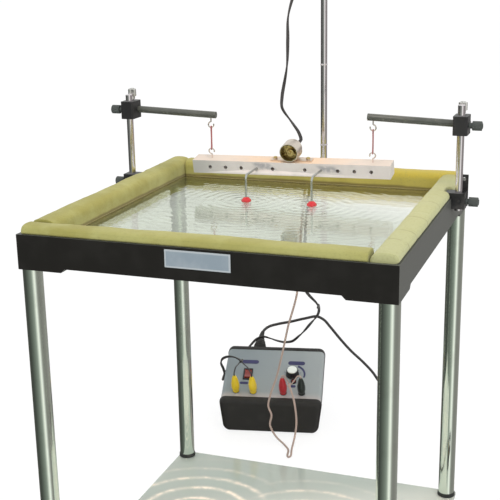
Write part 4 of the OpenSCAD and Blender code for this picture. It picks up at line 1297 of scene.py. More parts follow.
@dataclass
class Leads:
    """The motor's and lamp's leads, the mains lead with its coil, and what is on them."""

    unit: UnitPlace
    lead_d: float = 3.6
    motor_lead_d: float = 5.0
    mains_d: float = 5.5
    tail_d: float = 2.4
    plug_l: float = 41.0
    twist_mm: float = 150.0
    gland_at: Point = (-37.0, 121.4, 107.0)
    clip_z: tuple[float, ...] = (566.0, 690.0, 806.0)
    clip_wire: float = 0.8
    clip_steps: int = 48
    lamp_rod_d: float = 10.0
    lamp_lead_by_rod: Point = (13.1, 255.0)
    motor_lead_by_rod: Point = (11.7, 260.2)
    coil_pitch: float = 7.2
    coil_layer: float = 6.4
    coil_turns: int = 2
    coil_r: float = 39.6
    coil_tail: float = 46.0
    coil_c: Point = (350.0, 53.2, 2.75)
    relief: tuple[Point, ...] = (
        (7.0, 8.0), (9.0, 10.5), (12.5, 12.2), (14.0, 12.2), (15.0, 11.2), (16.5, 11.2),
        (17.5, 12.0), (20.5, 11.8), (21.5, 10.6), (23.0, 10.6), (24.0, 11.2), (27.5, 10.2),
        (28.5, 9.0), (30.0, 9.0), (31.0, 9.4), (34.5, 8.0), (35.5, 6.8), (37.0, 6.8),
        (38.0, 7.0), (43.0, 5.6), (50.0, 4.4), (56.0, 3.7), (57.0, 2.8),
    )
    plug_size: Point = (46.0, 48.0, 21.3)
    motor_plug_at: tuple[Point, Point] = ((-65.7, 25.9), (-33.3, 24.7))
    lamp_plug_at: tuple[Point, Point] = ((22.7, 24.5), (56.6, 25.2))
    motor_route: tuple[Point, ...] = (
        (10.9, 128.1, 588.4), (10.9, 131.5, 589.2), (12.5, 135.5, 592.5), (9, 137, 602),
        (-2, 138, 617), (-21, 149, 638), (-22.5, 156, 653), (-18, 166, 696), (-19, 174, 735),
        (-21, 182, 764), (-14, 192, 800), (-4, 218, 843), (2, 247, 857), (8.5, 262, 840),
        (11.7, 260.2, 810), (11.7, 260.2, 552), (-1, 268, 525), (-14, 266, 475), (-21, 263, 380),
        (-20, 264, 318), (-7, 279, 294), (-16, 322, 270), (-27, 364, 260), (-42, 412, 226),
        (-69, 452, 190), (-100.4, 489, 151.6), (-123.6, 506.5, 129.5), (-139.7, 510.5, 125),
        (-153, 511, 126), (-167.7, 509.5, 130), (-180.2, 507, 133), (-193, 505.5, 128),
        (-213.8, 503.2, 105), (-235.4, 494.4, 80), (-250.5, 478.8, 62), (-250.5, 460.4, 54),
        (-243.2, 447.7, 60), (-237.1, 438.8, 73), (-235.3, 427.9, 90), (-235.1, 415.7, 107),
        (-225.8, 405.4, 121), (-209.7, 399.7, 128.5), (-195.2, 397.8, 127.5),
        (-186.5, 396.6, 123.3),
    )
    lamp_route: tuple[Point, ...] = (
        (3.5, 39.6, 975), (3.5, 47, 975), (0, 75, 968), (-18, 170, 932), (-22, 210, 918),
        (-14, 250, 898), (3, 266, 876), (13, 258, 853), (13.1, 255, 832), (13.1, 255, 551),
        (9, 257, 543), (0, 261.5, 533), (-8, 264, 519), (-18, 265, 495), (-31, 262, 360),
        (-35, 263, 312), (-47, 275, 275), (-57, 286, 249), (-81, 314, 170), (-95.2, 330, 128),
        (-108.7, 335, 90),
        (-112.8, 334.9, 68), (-107, 335, 52), (-109.6, 333.5, 33), (-99, 332.5, 13),
        (-78.1, 321, 3.5), (-66.7, 307.1, 2.2), (-62.5, 290, 2.2), (-60.5, 283, 2.2),
        (-58, 280, 2.2), (-55.7, 283, 2.2), (-56, 290, 2.2), (-60.3, 306, 2.2),
        (-63, 322, 5), (-64.4, 338, 13), (-63.2, 344.7, 34), (-65.1, 346.3, 62.5),
        (-70.5, 351.5, 82), (-76.5, 358, 92), (-82, 366.5, 96.5), (-85.3, 374.9, 96.7),
    )
    mains_route: tuple[Point, ...] = (
        (-185.3, 491, 107), (-187.3, 500.5, 107.5), (-190.2, 514, 112), (-192.5, 527, 121),
        (-193.5, 542, 130), (-187.5, 559, 135), (-172, 568, 139), (-148, 575, 144),
        (-119.5, 584, 151), (-95.6, 591.4, 155), (-84, 596, 148), (-72, 601.6, 132),
        (-53.9, 609.7, 106), (-35, 618, 81), (-8, 626.3, 53), (9, 631, 33), (22, 633, 14),
        (32, 629, 5), (43, 611, 2.8), (58, 560, 2.8), (113, 305, 2.8), (121, 266, 3.3),
        (126, 244, 9.1), (133, 212, 8.8), (163, 96, 8.8), (190, 48, 8.8), (224, 20, 8.8),
        (243, 14.5, 8.8), (262, 13.6, 3.3), (284, 13.6, 2.75), (350, 13.6, 2.75),
    )

    def coil_point(self, turns: float) -> Vector:
        """Returns the coil's centreline after a number of turns, in two layers."""
        end = 2 * self.coil_turns + 0.5
        inner = min(max(turns, 0), self.coil_turns, max(end - turns, 0))
        radius = self.coil_r - self.coil_pitch * min(inner, self.coil_turns)
        climb = min(max(2 * (turns - self.coil_turns), 0), 1)
        angle = FULL_TURN * (turns - 0.25)
        return Vector(self.coil_c) + Vector(
            (
                radius * math.cos(angle),
                radius * math.sin(angle),
                self.coil_layer * climb * climb * (3 - 2 * climb),
            )
        )

    def mains_path(self) -> list[Vector]:
        """Returns the mains lead's whole line: its route, its coil and the plug's tail."""
        steps = 48
        end = 2 * self.coil_turns + 0.5
        path = smooth_path(self.mains_route, 4.0)
        path += [self.coil_point(k / steps) for k in range(1, int(end * steps) + 1)]
        last = path[-1]
        path += [last - Vector((d, 0, 0)) for d in (self.mains_d, self.coil_tail)]
        return path

    def mains_plug(self, entry: Vector) -> tuple[bpy.types.Object, bpy.types.Object]:
        """Makes the three-pin plug that lies on its back, pins up.

        Args:
            entry: Where the lead enters it.

        Returns:
            The plug's body and its pins.
        """
        length, width, height = self.plug_size
        outline = [
            (0, 6 - width / 2), (6, -width / 2), (length - 16, -width / 2), (length - 3, -11),
            (length - 3, 11), (length - 16, width / 2), (6, width / 2), (0, width / 2 - 6),
        ]
        foot = at(entry.x - length, entry.y, 0)
        form = Form().prism(outline, height - 5, foot, 2.0, 3)
        inner = [(x * 0.93 + 1.5, y * 0.93) for x, y in outline]
        form.prism(inner, height - 0.6, foot, 1.5, 3)
        sleeve = [(0, 0), (6.2, 0), (6.2, 2), (5.6, 3), (5.6, 9), (4.2, 11.5), (0, 11.5)]
        form.lathe(sleeve, at(entry.x - 11.4, entry.y, entry.z, Axis.RIGHT), 24)
        plug = form.piece("mains_plug_body", Body.STAND, Stock.MAINS, "mains_plug")
        pins = Form()
        pins.block((8, 4, 23), foot @ at(10, 0, height + 10.5), 0.8)
        for side in (-1, 1):
            pins.block((4, 6.4, 18.5), foot @ at(30, side * 11, height + 8.2), 0.8)
        brass = pins.piece("mains_plug_pins", Body.STAND, Stock.BRASS)
        screw = Form().lathe([(0, 0), (3.2, 0), (3.2, 0.5), (0, 0.7)], foot @ at(22, 0, height - 0.7))
        screw.piece("mains_plug_screw", Body.STAND, Stock.STEEL)
        return plug, brass

    def mains(self) -> None:
        path = [p * MM for p in self.mains_path()]
        lead = cord_curve("mains_cord", path, self.mains_d * MM)
        lead.data.materials.append(Stock.LEAD.material())
        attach(lead, Body.STAND.value)
        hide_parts("mains_lead", "mains_coil")
        relief = Form().sleeve([p / MM for p in path], self.relief, 28)
        gland = self.unit.base @ at(*self.gland_at, Axis.BACK)
        relief.lathe([(0, 0), (10.5, 0), (10.5, 9.6), (9.8, 10.6), (0, 10.6)], gland, 6)
        collar = relief.piece("mains_strain_relief", Body.STAND, Stock.BEZEL)
        plug, pins = self.mains_plug(path[-1] / MM)
        path_length(path)
        self.mains_d * MM

    def tail(self, place: Point, join: Vector, lift: float) -> list[Vector]:
        """Returns the path of one plug's tail, from the plug's top to its lead's end."""
        top = self.unit.panel(*place, lift) @ Vector()
        up = (self.unit.panel(*place, lift + 10) @ Vector() - top).normalized()
        return smooth_path(
            [
                top, top + up * 6, top + up * 11 + (join - top) * 0.25,
                join + (top - join) * 0.35 + Vector((0, 0, 4)),
                join + (top - join) * 0.12 + Vector((0, 0, 1)), join,
            ],
            2.0,
        )

    def stack_plug(self, name: str, place: Point, finish: Finish, nodes: Sequence[str]
                   ) -> bpy.types.Object:
        """Makes one barrel-shaped 4 mm plug that stands in the panel.

        Args:
            name: The plug's name.
            place: Its place on the panel.
            finish: The finish of its shell.
            nodes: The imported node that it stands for.

        Returns:
            The plug's shell.
        """
        shell = [
            (0, 0.2), (5.4, 0.2), (5.9, 0.8), (6.0, 2.6), (5.5, 3.6), (6.3, 6.0), (7.1, 10.0),
            (7.3, 15.0), (7.1, 20.0), (6.5, 26.0), (5.6, 31.5), (4.5, 36.0), (3.2, 39.4),
            (2.0, 40.8), (0, 41.0),
        ]
        form = Form().lathe(shell, self.unit.panel(*place), 32)
        ribs = 8
        for k in range(ribs):
            spoke = Matrix.Rotation(FULL_TURN * k / ribs, 4, "Z")
            form.block((1.0, 1.8, 13.0), self.unit.panel(*place) @ spoke @ at(6.9, 0, 15.5), 0.4)
        pin = Form().lathe([(0, -12), (1.6, -12), (2, -11.4), (2, 0.6), (0, 0.6)],
                           self.unit.panel(*place), 20)
        pin.piece(name + "_pin", Body.STAND, Stock.STEEL)
        return form.piece(name, Body.STAND, finish, *nodes)

    def pair(
        self, name: str, route: Sequence[Point], places: Sequence[Point], node: str,
        finishes: Sequence[Finish], sheath: Finish, shift: float,
    ) -> list[bpy.types.Object]:
        """Makes the plugs and the split tails at a lead's far end.

        Args:
            name: The lead's name.
            route: The lead's route.
            places: The plugs' places on the panel.
            node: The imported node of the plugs.
            finishes: The finish of each plug.
            sheath: The finish of the tails.
            shift: How far behind the lead's end the tails start.

        Returns:
            The plugs and the tails.
        """
        made = []
        end = Vector(route[-1])
        across = (self.unit.panel(1, 0) @ Vector() - self.unit.panel(0, 0) @ Vector()).normalized()
        for side, place, finish in zip((-1, 1), places, finishes):
            which = "left" if side < 0 else "right"
            join = end + across * 1.5 * side + Vector((0, shift, 0))
            made.append(self.stack_plug(f"{name}_plug_{which}", place, finish, [node]))
            tail = Form().tube(self.tail(place, join, self.plug_l - 1), self.tail_d)
            made.append(tail.piece(f"{name}_tail_{which}", Body.STAND, sheath))
        sleeve = Form().tube([end - Vector((0, shift * 2, 0)), end, end + Vector((0, shift * 1.4, 0))], 4.6)
        made.append(sleeve.piece(f"{name}_split_sleeve", Body.STAND, sheath))
        return made

    def low_lead(
        self, name: str, route: Sequence[Point], node: str, body: Body,
        sheath: Finish, width: float,
        twin: bool,
    ) -> None:
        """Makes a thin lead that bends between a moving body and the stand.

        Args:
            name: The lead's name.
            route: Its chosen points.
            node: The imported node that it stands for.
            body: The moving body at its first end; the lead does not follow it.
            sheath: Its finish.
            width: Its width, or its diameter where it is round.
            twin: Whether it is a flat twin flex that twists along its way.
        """
        path = [p * MM for p in smooth_path(route, 4.0)]
        mesh = tube_mesh(path, width * MM, 3, FULL_TURN / self.twist_mm / MM if twin else 0.0)
        lead = add_mesh(name, mesh, body, sheath, [node], ride=False)
        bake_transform(lead)
        path_length(path)
        width * MM

    def clips(self) -> None:
        """Holds the two leads behind the lamp rod with thin spring clips."""
        rod = node_middle("lamp_rod")
        rings = (
            (rod.x, rod.y, self.lamp_rod_d / 2),
            (*self.lamp_lead_by_rod, self.lead_d / 2),
            (*self.motor_lead_by_rod, self.motor_lead_d / 2),
        )
        for k, z in enumerate(self.clip_z):
            path = []
            for i in range(self.clip_steps + 1):
                angle = FULL_TURN * i / self.clip_steps
                way = Vector((math.cos(angle), math.sin(angle)))
                x, y, r = max(rings, key=lambda c: Vector(c[:2]).dot(way) + c[2])
                out = r + self.clip_wire / 2
                path.append((x + out * way.x, y + out * way.y, z))
            clip = Form()
            for rise in (-self.clip_wire, 0.0, self.clip_wire):
                clip.tube([(x, y, h + rise) for x, y, h in path], self.clip_wire, 1)
            clip.piece(f"lead_clip_{k + 1}", Body.STAND, Stock.ROD)

    def build(self) -> None:
        """Makes every lead."""
        self.mains()
        motor = self.pair(
            "motor", self.motor_route, self.motor_plug_at, "motor_plugs",
            (Stock.YELLOW, Stock.YELLOW), Stock.LEAD, -3,
        )
        lamp = self.pair(
            "lamp", self.lamp_route, self.lamp_plug_at, "lamp_plugs",
            (Stock.RED, Stock.DARK), Stock.CLEAR, 3,
        )
        self.low_lead(
            "motor_cord", self.motor_route, "motor_lead", Body.LEFT_HANGER,
            Stock.LEAD, self.motor_lead_d, True,
        )
        self.low_lead(
            "lamp_cord", self.lamp_route, "lamp_lead", Body.LAMP,
            Stock.CLEAR, self.lead_d, False,
        )
        self.clips()


# ---------------------------------------------------------------- stand and tank


@dataclass
class Stand:
    """The board, the four legs with their feet, and the frame with its bare plate."""

    def build(self) -> None:
        """Dresses the board, the legs and the frame."""
        Form().copy_of("screen_board", 0.8).piece(
            "viewing_board", Body.STAND, Stock.SCREEN, "screen_board"
        )
        keep(Stock.LEG, "legs")
        keep(Stock.STEEL, "leg_studs")
        keep(Stock.GLASS, "glass_bottom")
        node_object("glass_bottom").visible_shadow = False
        self.ferrules()
        Form().copy_of("tank_frame", 2.2, 3).piece(
            "painted_frame", Body.STAND, Stock.FRAME, "tank_frame"
        )
        self.plate()

    def ferrules(self) -> None:
        """Makes the ribbed rubber foot of each leg."""
        form = Form()
        low, high = node_box("leg_ferrules")
        reach = high.x - 14.0
        foot, top = low.z, high.z
        for x in (-reach, reach):
            for y in (-reach, reach):
                form.lathe(
                    [
                        (0, foot), (13.2, foot), (13.9, foot + 0.7), (13.9, foot + 1.7),
                        (13.4, foot + 2.1), (13.7, foot + 2.6), (13.7, top - 1.2),
                        (13.2, top), (12.7, top), (12.6, foot + 2), (0, foot + 2),
                    ],
                    at(x, y, 0), 48,
                )
        form.piece("rubber_feet", Body.STAND, Stock.FERRULE, "leg_ferrules")

    def plate(self) -> None:
        """Makes the bare plate on the front rail."""
        middle = node_middle("blank_plate")
        low, high = node_box("blank_plate")
        size = high - low
        Form().block((size.x, size.y, size.z), Matrix.Translation(middle), 0.3).piece(
            "bare_plate", Body.STAND, Stock.PLATE, "blank_plate"
        )


@dataclass
class FoamBeaches:
    """The four foam strips that line the tank and lap over its rim."""

    width: float = 30.0
    lap: float = 3.8
    cuts: int = 120
    dents: tuple[float, ...] = (-128.0, -36.0, 61.0, 118.0)

    def section(self, height: float, rim: float) -> list[tuple[float, float]]:
        """Returns the strip's outline, outer face first, as (inwards, up) points.

        Args:
            height: The height of the strip.
            rim: The height of the frame's rim over the strip's foot.

        Returns:
            The corners of the outline.
        """
        w, h, lap = self.width, height, self.lap
        return [
            (0.2, 0.2), (0.0, rim * 0.5), (0.0, rim), (-lap * 0.75, rim + 0.5),
            (-lap, rim + 2.2), (-lap, rim + 4.6), (-lap * 0.7, h - 3.6), (0.5, h - 1.4),
            (5.5, h - 0.3), (11, h), (17, h - 0.1), (22, h - 0.9), (26, h - 2.7),
            (28.8, h - 6), (29.9, h - 10), (w, h - 15), (w, h * 0.3), (w - 0.3, 0.2),
        ]

    def strip(self, name: str, turn: int) -> None:
        """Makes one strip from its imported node's box and the section.

        Args:
            name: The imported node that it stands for.
            turn: Quarter turns from the front.
        """
        low, high = node_box(name)
        length = max(high.x - low.x, high.y - low.y) - 0.4
        rim = node_box("tank_frame")[1].z - low.z
        part = bmesh.new()
        outline = self.section(high.z - low.z, rim)
        foot = part.faces.new([part.verts.new((0, y, z)) for y, z in outline])
        grown = bmesh.ops.extrude_face_region(part, geom=[foot], use_keep_orig=True)
        far = [g for g in grown["geom"] if isinstance(g, bmesh.types.BMVert)]
        bmesh.ops.translate(part, vec=(length, 0, 0), verts=far)
        runs = [e for e in part.edges if abs(e.verts[0].co.x - e.verts[1].co.x) > 1]
        bmesh.ops.subdivide_edges(part, edges=runs, cuts=self.cuts, use_grid_fill=True)
        pitch = length / (self.cuts + 1)
        for vert in part.verts:
            if abs(vert.co.x - pitch) < 0.1:
                vert.co.x = 0.9
            elif abs(vert.co.x - length + pitch) < 0.1:
                vert.co.x = length - 0.9
        bmesh.ops.recalc_face_normals(part, faces=part.faces)
        corner = Vector(
            ((low.x, low.y, low.z), (high.x, low.y, low.z), (high.x, high.y, low.z),
             (low.x, high.y, low.z))[turn]
        )
        place = Matrix.Translation(corner) @ Matrix.Rotation(turn * math.pi / 2, 4, "Z")
        part.transform(place @ at(0.2, 0, 0))
        part.normal_update()
        for vert in part.verts:
            vert.co += self.sag(vert, low.z + rim, turn)
        form = Form().take(part, Matrix())
        piece = form.piece(name + "_bead", Body.STAND, Stock.FOAM, name)
        soft = piece.modifiers.new("soft", "SUBSURF")
        soft.levels = soft.render_levels = 1

    def sag(self, vert: bmesh.types.BMVert, rim_z: float, turn: int) -> Vector:
        """Returns how far a point of a strip strays from its straight form."""
        place = vert.co
        above = min(max((place.z - rim_z + 2) / 8, 0), 1)
        swell = noise.noise(place / 46) * 0.9 + noise.noise(place / 13) * 0.4
        pit = noise.noise(place / 4.5) * 0.16
        if turn == 1:
            for y in self.dents:
                pit -= 0.7 * math.exp(-(((place.y - y + 0.12 * place.x - 26) / 3.6) ** 2))
        away = vert.normal * ((swell - 0.35) * above + pit * (0.3 + 0.7 * above))
        tuck = self.tuck(place, rim_z)
        return away + tuck

    @staticmethod
    def tuck(place: Vector, rim_z: float) -> Vector:
        """Returns the push that draws the lap in where a clamp hooks over the rim."""
        half = 240.0
        for node, across in (("left_clamp", 1), ("right_clamp", 1), ("rear_clamp", 0)):
            middle = node_middle(node)
            side = 0 if across else 1
            if abs(place[across] - middle[across]) > 14.5 or place.z < rim_z - 14.5:
                continue
            if (place[side] - middle[side]) * math.copysign(1, middle[side]) < -30:
                continue
            limit = half - 10.2
            out = place[side] * math.copysign(1, middle[side])
            if out > limit:
                push = Vector((0, 0, 0))
                push[side] = -(out - limit) * math.copysign(1, middle[side])
                return push
        return Vector((0, 0, 0))

    def build(self) -> None:
        """Makes the four strips."""
        for turn, name in enumerate(("foam_front", "foam_right", "foam_rear", "foam_left")):
            self.strip(name, turn)


@dataclass
class Water:
    """The water in the tank, rippled by the two dippers."""

    half: float = 211.0
    level: float = 514.0
    cells: int = 250
    wave: float = 13.4
    height: float = 0.05
    swell: float = 0.05

    def lift(self, place: Vector, sources: Sequence[Vector]) -> float:
        """Returns the water's rise at a place.

        Args:
            place: A place on the surface.
            sources: The middles of the dippers' balls.

        Returns:
            The rise above the level.
        """
        rise = 0.0
        for source in sources:
            far = (place.xy - source.xy).length
            strength = math.exp(-far / 260) / math.sqrt(1 + far / 18)
            rise += math.cos(FULL_TURN * far / self.wave) * strength * self.height * 2.0
        rise += noise.noise(Vector((place.x / 30, place.y / 9, 3.3))) * self.swell
        rise += noise.noise(Vector((place.x / 9, place.y / 5, 9.1))) * self.swell * 0.35
        return rise

    def build(self) -> None:
        """Makes the closed body of water on the glass."""
        floor = node_box("glass_bottom")[1].z + 0.1
        sources = [node_middle("left_ball"), node_middle("right_ball")]
        part = bmesh.new()
        bmesh.ops.create_grid(
            part, x_segments=self.cells, y_segments=self.cells, size=self.half
        )
        for vert in part.verts:
            vert.co.z = self.level + self.lift(vert.co, sources)
        rim = [e for e in part.edges if e.is_boundary]
        grown = bmesh.ops.extrude_edge_only(part, edges=rim)
        low = [g for g in grown["geom"] if isinstance(g, bmesh.types.BMVert)]
        for vert in low:
            vert.co.z = floor
        foot = [e for e in part.edges if e.is_boundary]
        bmesh.ops.holes_fill(part, edges=foot, sides=0)
        form = Form().take(part, Matrix())
        water = form.piece("tank_water", Body.STAND, Stock.WATER)
        water.modifiers.clear()
        water.visible_shadow = False


# ---------------------------------------------------------------- posts, arms and beam


@dataclass
class Hangers:
    """The rod clamps, posts, bosses, arms, thumbscrews, hooks and rubber bands."""

    band_d: float = 1.4
    band_out: float = 1.85

    def thumbscrew(self, node: str, body: Body, axis: Axis, grip_l: float, grip_d: float,
                   finish: Finish) -> None:
        """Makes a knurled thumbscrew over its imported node.

        Args:
            node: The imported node.
            body: The body it turns with.
            axis: The way its head points.
            grip_l: The length of its head.
            grip_d: The diameter of its head.
            finish: Its finish.
        """
        low, high = node_box(node)
        middle = (low + high) / 2
        line = axis.value @ Vector((0, 0, 1))
        reach = abs((high - low).dot(line))
        tip = middle - line * (reach / 2)
        place = Matrix.Translation(tip) @ axis.value
        form = Form().lathe([(0, 0), (2, 0), (2.5, 0.5), (2.5, reach - 2), (0, reach - 2)], place, 20)
        form.lathe([(0, reach - grip_l - 4), (4, reach - grip_l - 4), (4, reach - grip_l + 1),
                    (0, reach - grip_l + 1)], place, 28)
        form.knurl(grip_d, grip_l - 1.0, place @ at(0, 0, reach - grip_l), 26, 0.45, 0.7)
        form.lathe([(0, reach - 1.4), (grip_d * 0.3, reach - 1.4), (grip_d * 0.3, reach - 0.3),
                    (grip_d * 0.25, reach), (0, reach)], place, 28)
        form.piece(node + "_knob", body, finish, node)

    def band(self, node: str, name: str, body: Body) -> None:
        """Makes a rubber band round its two hooks.

        Args:
            node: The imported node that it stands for.
            name: The piece's name.
            body: The body of the upper hook.
        """
        low, high = node_box(node)
        middle = (low + high) / 2
        top, foot = high.z - self.band_d / 2, low.z + self.band_d / 2
        out = self.band_out
        path = []
        for k in range(17):
            a = math.pi * k / 16
            path.append((middle.x, middle.y + out * math.cos(a), top - out + out * math.sin(a)))
        straight = 14
        for k in range(1, straight):
            t = k / straight
            pinch = 1 - 0.45 * math.sin(math.pi * t)
            z = (top - out) * (1 - t) + (foot + out) * t
            path.append((middle.x, middle.y - out * pinch, z))
        for k in range(17):
            a = math.pi * k / 16
            path.append((middle.x, middle.y - out * math.cos(a), foot + out - out * math.sin(a)))
        for k in range(1, straight):
            t = k / straight
            pinch = 1 - 0.45 * math.sin(math.pi * t)
            z = (foot + out) * (1 - t) + (top - out) * t
            path.append((middle.x + 0.25 * math.sin(math.pi * t), middle.y + out * pinch, z))
        path.append(path[0])
        mesh = tube_mesh([Vector(p) * MM for p in path], self.band_d * MM, 2)
        piece = add_mesh(name, mesh, body, Stock.BAND, [node], ride=False)
        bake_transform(piece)

    def build(self) -> None:
        """Dresses everything from the clamps up to the hooks."""
        keep(Stock.ROD, "left_post", "right_post", "lamp_rod")
        keep(Stock.HOOK, "left_hook", "right_hook", "beam_hooks")
        for node in ("left_clamp", "right_clamp", "rear_clamp"):
            Form().copy_of(node, 0.7).piece(node + "_casting", Body.STAND, Stock.CLAMP, node)
        for node, body in (("left_boss", Body.LEFT_HANGER), ("right_boss", Body.RIGHT_HANGER)):
            Form().copy_of(node, 0.8).piece(node + "_casting", body, Stock.CLAMP, node)
        for node, body in (("left_arm", Body.LEFT_HANGER), ("right_arm", Body.RIGHT_HANGER)):
            Form().copy_of(node, 0.5).piece(node + "_bar", body, Stock.ARM, node)
        self.band("left_band", "left_rubber_band", Body.LEFT_HANGER)
        self.band("right_band", "right_rubber_band", Body.LEFT_HANGER)


@dataclass
class ScrewBodies:
    """Which body each thumbscrew turns with and which way its head points."""

    rows: tuple[tuple[str, str, Axis], ...] = (
        ("left_boss_screw", "left_boss_thumb", Axis.LEFT),
        ("right_boss_screw", "right_boss_thumb", Axis.RIGHT),
        ("left_clamp_screw", "left_clamp_thumb", Axis.LEFT),
        ("right_clamp_screw", "right_clamp_thumb", Axis.RIGHT),
        ("rear_clamp_screw", "rear_clamp_thumb", Axis.BACK),
        ("lamp_boss_screw", "lamp_thumb", Axis.RIGHT),
    )
    tops: tuple[tuple[str, str], ...] = (
        ("left_arm_screw", "left_arm_thumb"), ("right_arm_screw", "right_arm_thumb"),
    )


class Thumb(Enum):
    """The bodies of the thumbscrews."""

    LEFT_BOSS = "left_boss_thumb"
    RIGHT_BOSS = "right_boss_thumb"
    LEFT_CLAMP = "left_clamp_thumb"
    RIGHT_CLAMP = "right_clamp_thumb"
    REAR_CLAMP = "rear_clamp_thumb"
    LAMP_BOSS = "lamp_thumb"
    LEFT_ARM = "left_arm_thumb"
    RIGHT_ARM = "right_arm_thumb"


@dataclass
class WaveBeam:
    """The beam with its motor, saddle, dippers and balls."""

    centre: Point = (1.5, 121.789, 554.9)
    roll: float = 10.0
    tilt: float = 1.1
    size: Point = (300.0, 25.0, 20.0)
    spare_holes: tuple[int, ...] = (-5, -4, -3, -1, 1, 3, 4, 5)
    pitch: float = 24.5
    motor_x: float = 2.0
    motor_z: float = 25.25
    motor_d: float = 27.5
    motor_l: float = 26.0

    @property
    def base(self) -> Matrix:
        """The beam's own axes."""
        lean = Matrix.Rotation(math.radians(-self.tilt), 4, "Y")
        return at(*self.centre) @ lean @ Matrix.Rotation(math.radians(self.roll), 4, "X")

    def hole_rims(self) -> None:
        """Makes the dark eyelet round each spare hole in the beam's front face."""
        form = Form()
        for k in self.spare_holes:
            place = self.base @ at(k * self.pitch, -self.size[1] / 2, 0, Axis.FRONT)
            form.lathe([(1.75, -0.3), (2.55, -0.3), (2.5, 0.05), (2.2, 0.2), (1.85, 0.15),
                        (1.75, -0.3)], place, 28)
        form.piece("beam_eyelets", Body.BEAM, Stock.RIM)

    def motor(self, y: float, x: float = 0.0, z: float = 0.0) -> Matrix:
        """Returns the axes on the motor's line, +Z towards the back, y behind its middle."""
        return self.base @ at(self.motor_x + x, y, self.motor_z + z, Axis.BACK)

    def can(self) -> None:
        """Makes the motor's can with its brass mouth ring and its seams."""
        r, half = self.motor_d / 2, self.motor_l / 2
        form = Form().lathe(
            [
                (r - 1.1, -half), (r - 0.3, -half), (r, -half + 0.5), (r, -half + 3.0),
                (r - 0.35, -half + 3.4), (r - 0.35, -half + 4.2), (r, -half + 4.6),
                (r, half - 3), (r - 0.6, half - 1.2), (r - 2.2, half), (4.2, half),
                (3.8, half + 0.0), (3.8, half - 2), (r - 1.1, half - 2.2), (r - 1.1, -half),
            ],
            self.motor(0), 64,
        )
        form.piece("motor_shell", Body.BEAM, Stock.CAN, "motor_can")
        ring = Form().lathe(
            [(r - 1.2, -half + 0.2), (r - 1.2, -half + 8), (r - 2.4, -half + 8), (r - 2.4, -half + 0.6),
             (r - 1.9, -half + 0.2), (r - 1.2, -half + 0.2)],
            self.motor(0), 64,
        )
        ring.piece("motor_mouth_ring", Body.BEAM, Stock.MOUTH)

    def cap(self) -> None:
        """Makes the end bell with its bearing boss and brush posts."""
        r = self.motor_d / 2 - 2.5
        place = self.motor(-self.motor_l / 2 + 9)
        form = Form().lathe(
            [(1.4, -1.6), (3.8, -1.6), (4.2, -1.2), (4.2, 0), (6.6, 0), (7.1, -0.6), (8.2, -0.6),
             (8.7, 0), (r, 0), (r, 2.8), (1.4, 2.8), (1.4, -1.6)], place, 48,
        )
        for k in range(3):
            spoke = Matrix.Rotation(FULL_TURN * k / 3 + 0.5, 4, "Z")
            form.block((4.2, 2.6, 3.6), place @ spoke @ at(9.2, 0, -1.2), 0.5)
        form.piece("motor_end_bell", Body.BEAM, Stock.BRASS, "motor_cap")

    def rotor(self) -> None:
        """Makes the shaft with its eccentric weight and the wound rotor."""
        front = -self.motor_l / 2
        form = Form().lathe([(0, front + 1), (1.0, front + 1), (1.2, front + 1.4), (1.2, 9), (0, 9)],
                            self.motor(0), 20)
        weight = [(5.6 * math.cos(a) + 1.6, 5.6 * math.sin(a) + 1.2)
                  for a in (FULL_TURN * k / 28 for k in range(28))]
        form.prism(weight, 3.6, self.motor(front + 3.4), 0.7, 3)
        form.lathe([(0, front + 0.8), (2.2, front + 0.8), (2.7, front + 1.3), (2.7, front + 6.6),
                    (0, front + 6.6)], self.motor(0), 28)
        for k in range(3):
            spoke = Matrix.Rotation(FULL_TURN * k / 3, 4, "Z")
            form.block((5.2, 9.5, 8.6), self.motor(4.6) @ spoke @ at(4.4, 0, 0), 1.4, 3)
        form.piece("motor_rotor", Body.ROTOR, Stock.BRASS, "motor_shaft")

    def saddle(self) -> None:
        """Dresses the saddle strip and its two screws."""
        Form().copy_of("motor_saddle", 0.3).piece(
            "saddle_strip", Body.BEAM, Stock.SADDLE, "motor_saddle"
        )
        screws = Form()
        for side in (-1, 1):
            place = self.base @ at(self.motor_x + side * 25, 0, self.size[2] / 2 + 3.2)
            screws.lathe([(0, 0), (3.1, 0), (3.1, 0.6), (2.3, 1.6), (0, 2.0)], place, 24)
        screws.piece("saddle_screws", Body.BEAM, Stock.BRASS)

    def build(self) -> None:
        """Dresses the beam and everything on it."""
        Form().copy_of("beam", 0.45).piece("painted_beam", Body.BEAM, Stock.BEAM, "beam")
        keep(Stock.DIP, "left_dipper", "right_dipper")
        keep(Stock.BALL, "left_ball", "right_ball")
        self.hole_rims()
        self.can()
        self.cap()
        self.rotor()
        self.saddle()


@dataclass
class Lamp:
    """The lamp head on its arm above the tank."""

    def build(self) -> None:
        """Dresses the lamp."""
        Form().copy_of("lamp_hood", 0.8).piece("lamp_shade", Body.LAMP, Stock.HOOD, "lamp_hood")
        Form().copy_of("lamp_boss", 0.8).piece(
            "lamp_boss_casting", Body.LAMP, Stock.CLAMP, "lamp_boss"
        )
        Form().copy_of("lamp_arm", 0.5).piece("lamp_arm_bar", Body.LAMP, Stock.ARM, "lamp_arm")
        keep(Stock.BULB, "lamp_bulb")
        node_object("lamp_bulb").visible_shadow = False
        low, high = node_box("lamp_bulb")
        middle = (low + high) / 2
        filament = [
            (middle.x - 4 + 8 * k / 40, 0.9 * math.cos(k * 1.6), low.z + 11 + 0.9 * math.sin(k * 1.6))
            for k in range(41)
        ]
        form = Form().tube(filament, 0.35, 1)
        for side in (-1, 1):
            form.tube([(middle.x + side * 4, 0, low.z + 11), (middle.x + side * 2.5, 0, low.z + 25)],
                      0.5, 1)
        form.piece("lamp_filament", Body.LAMP, Stock.STEEL)


# ---------------------------------------------------------------- control unit


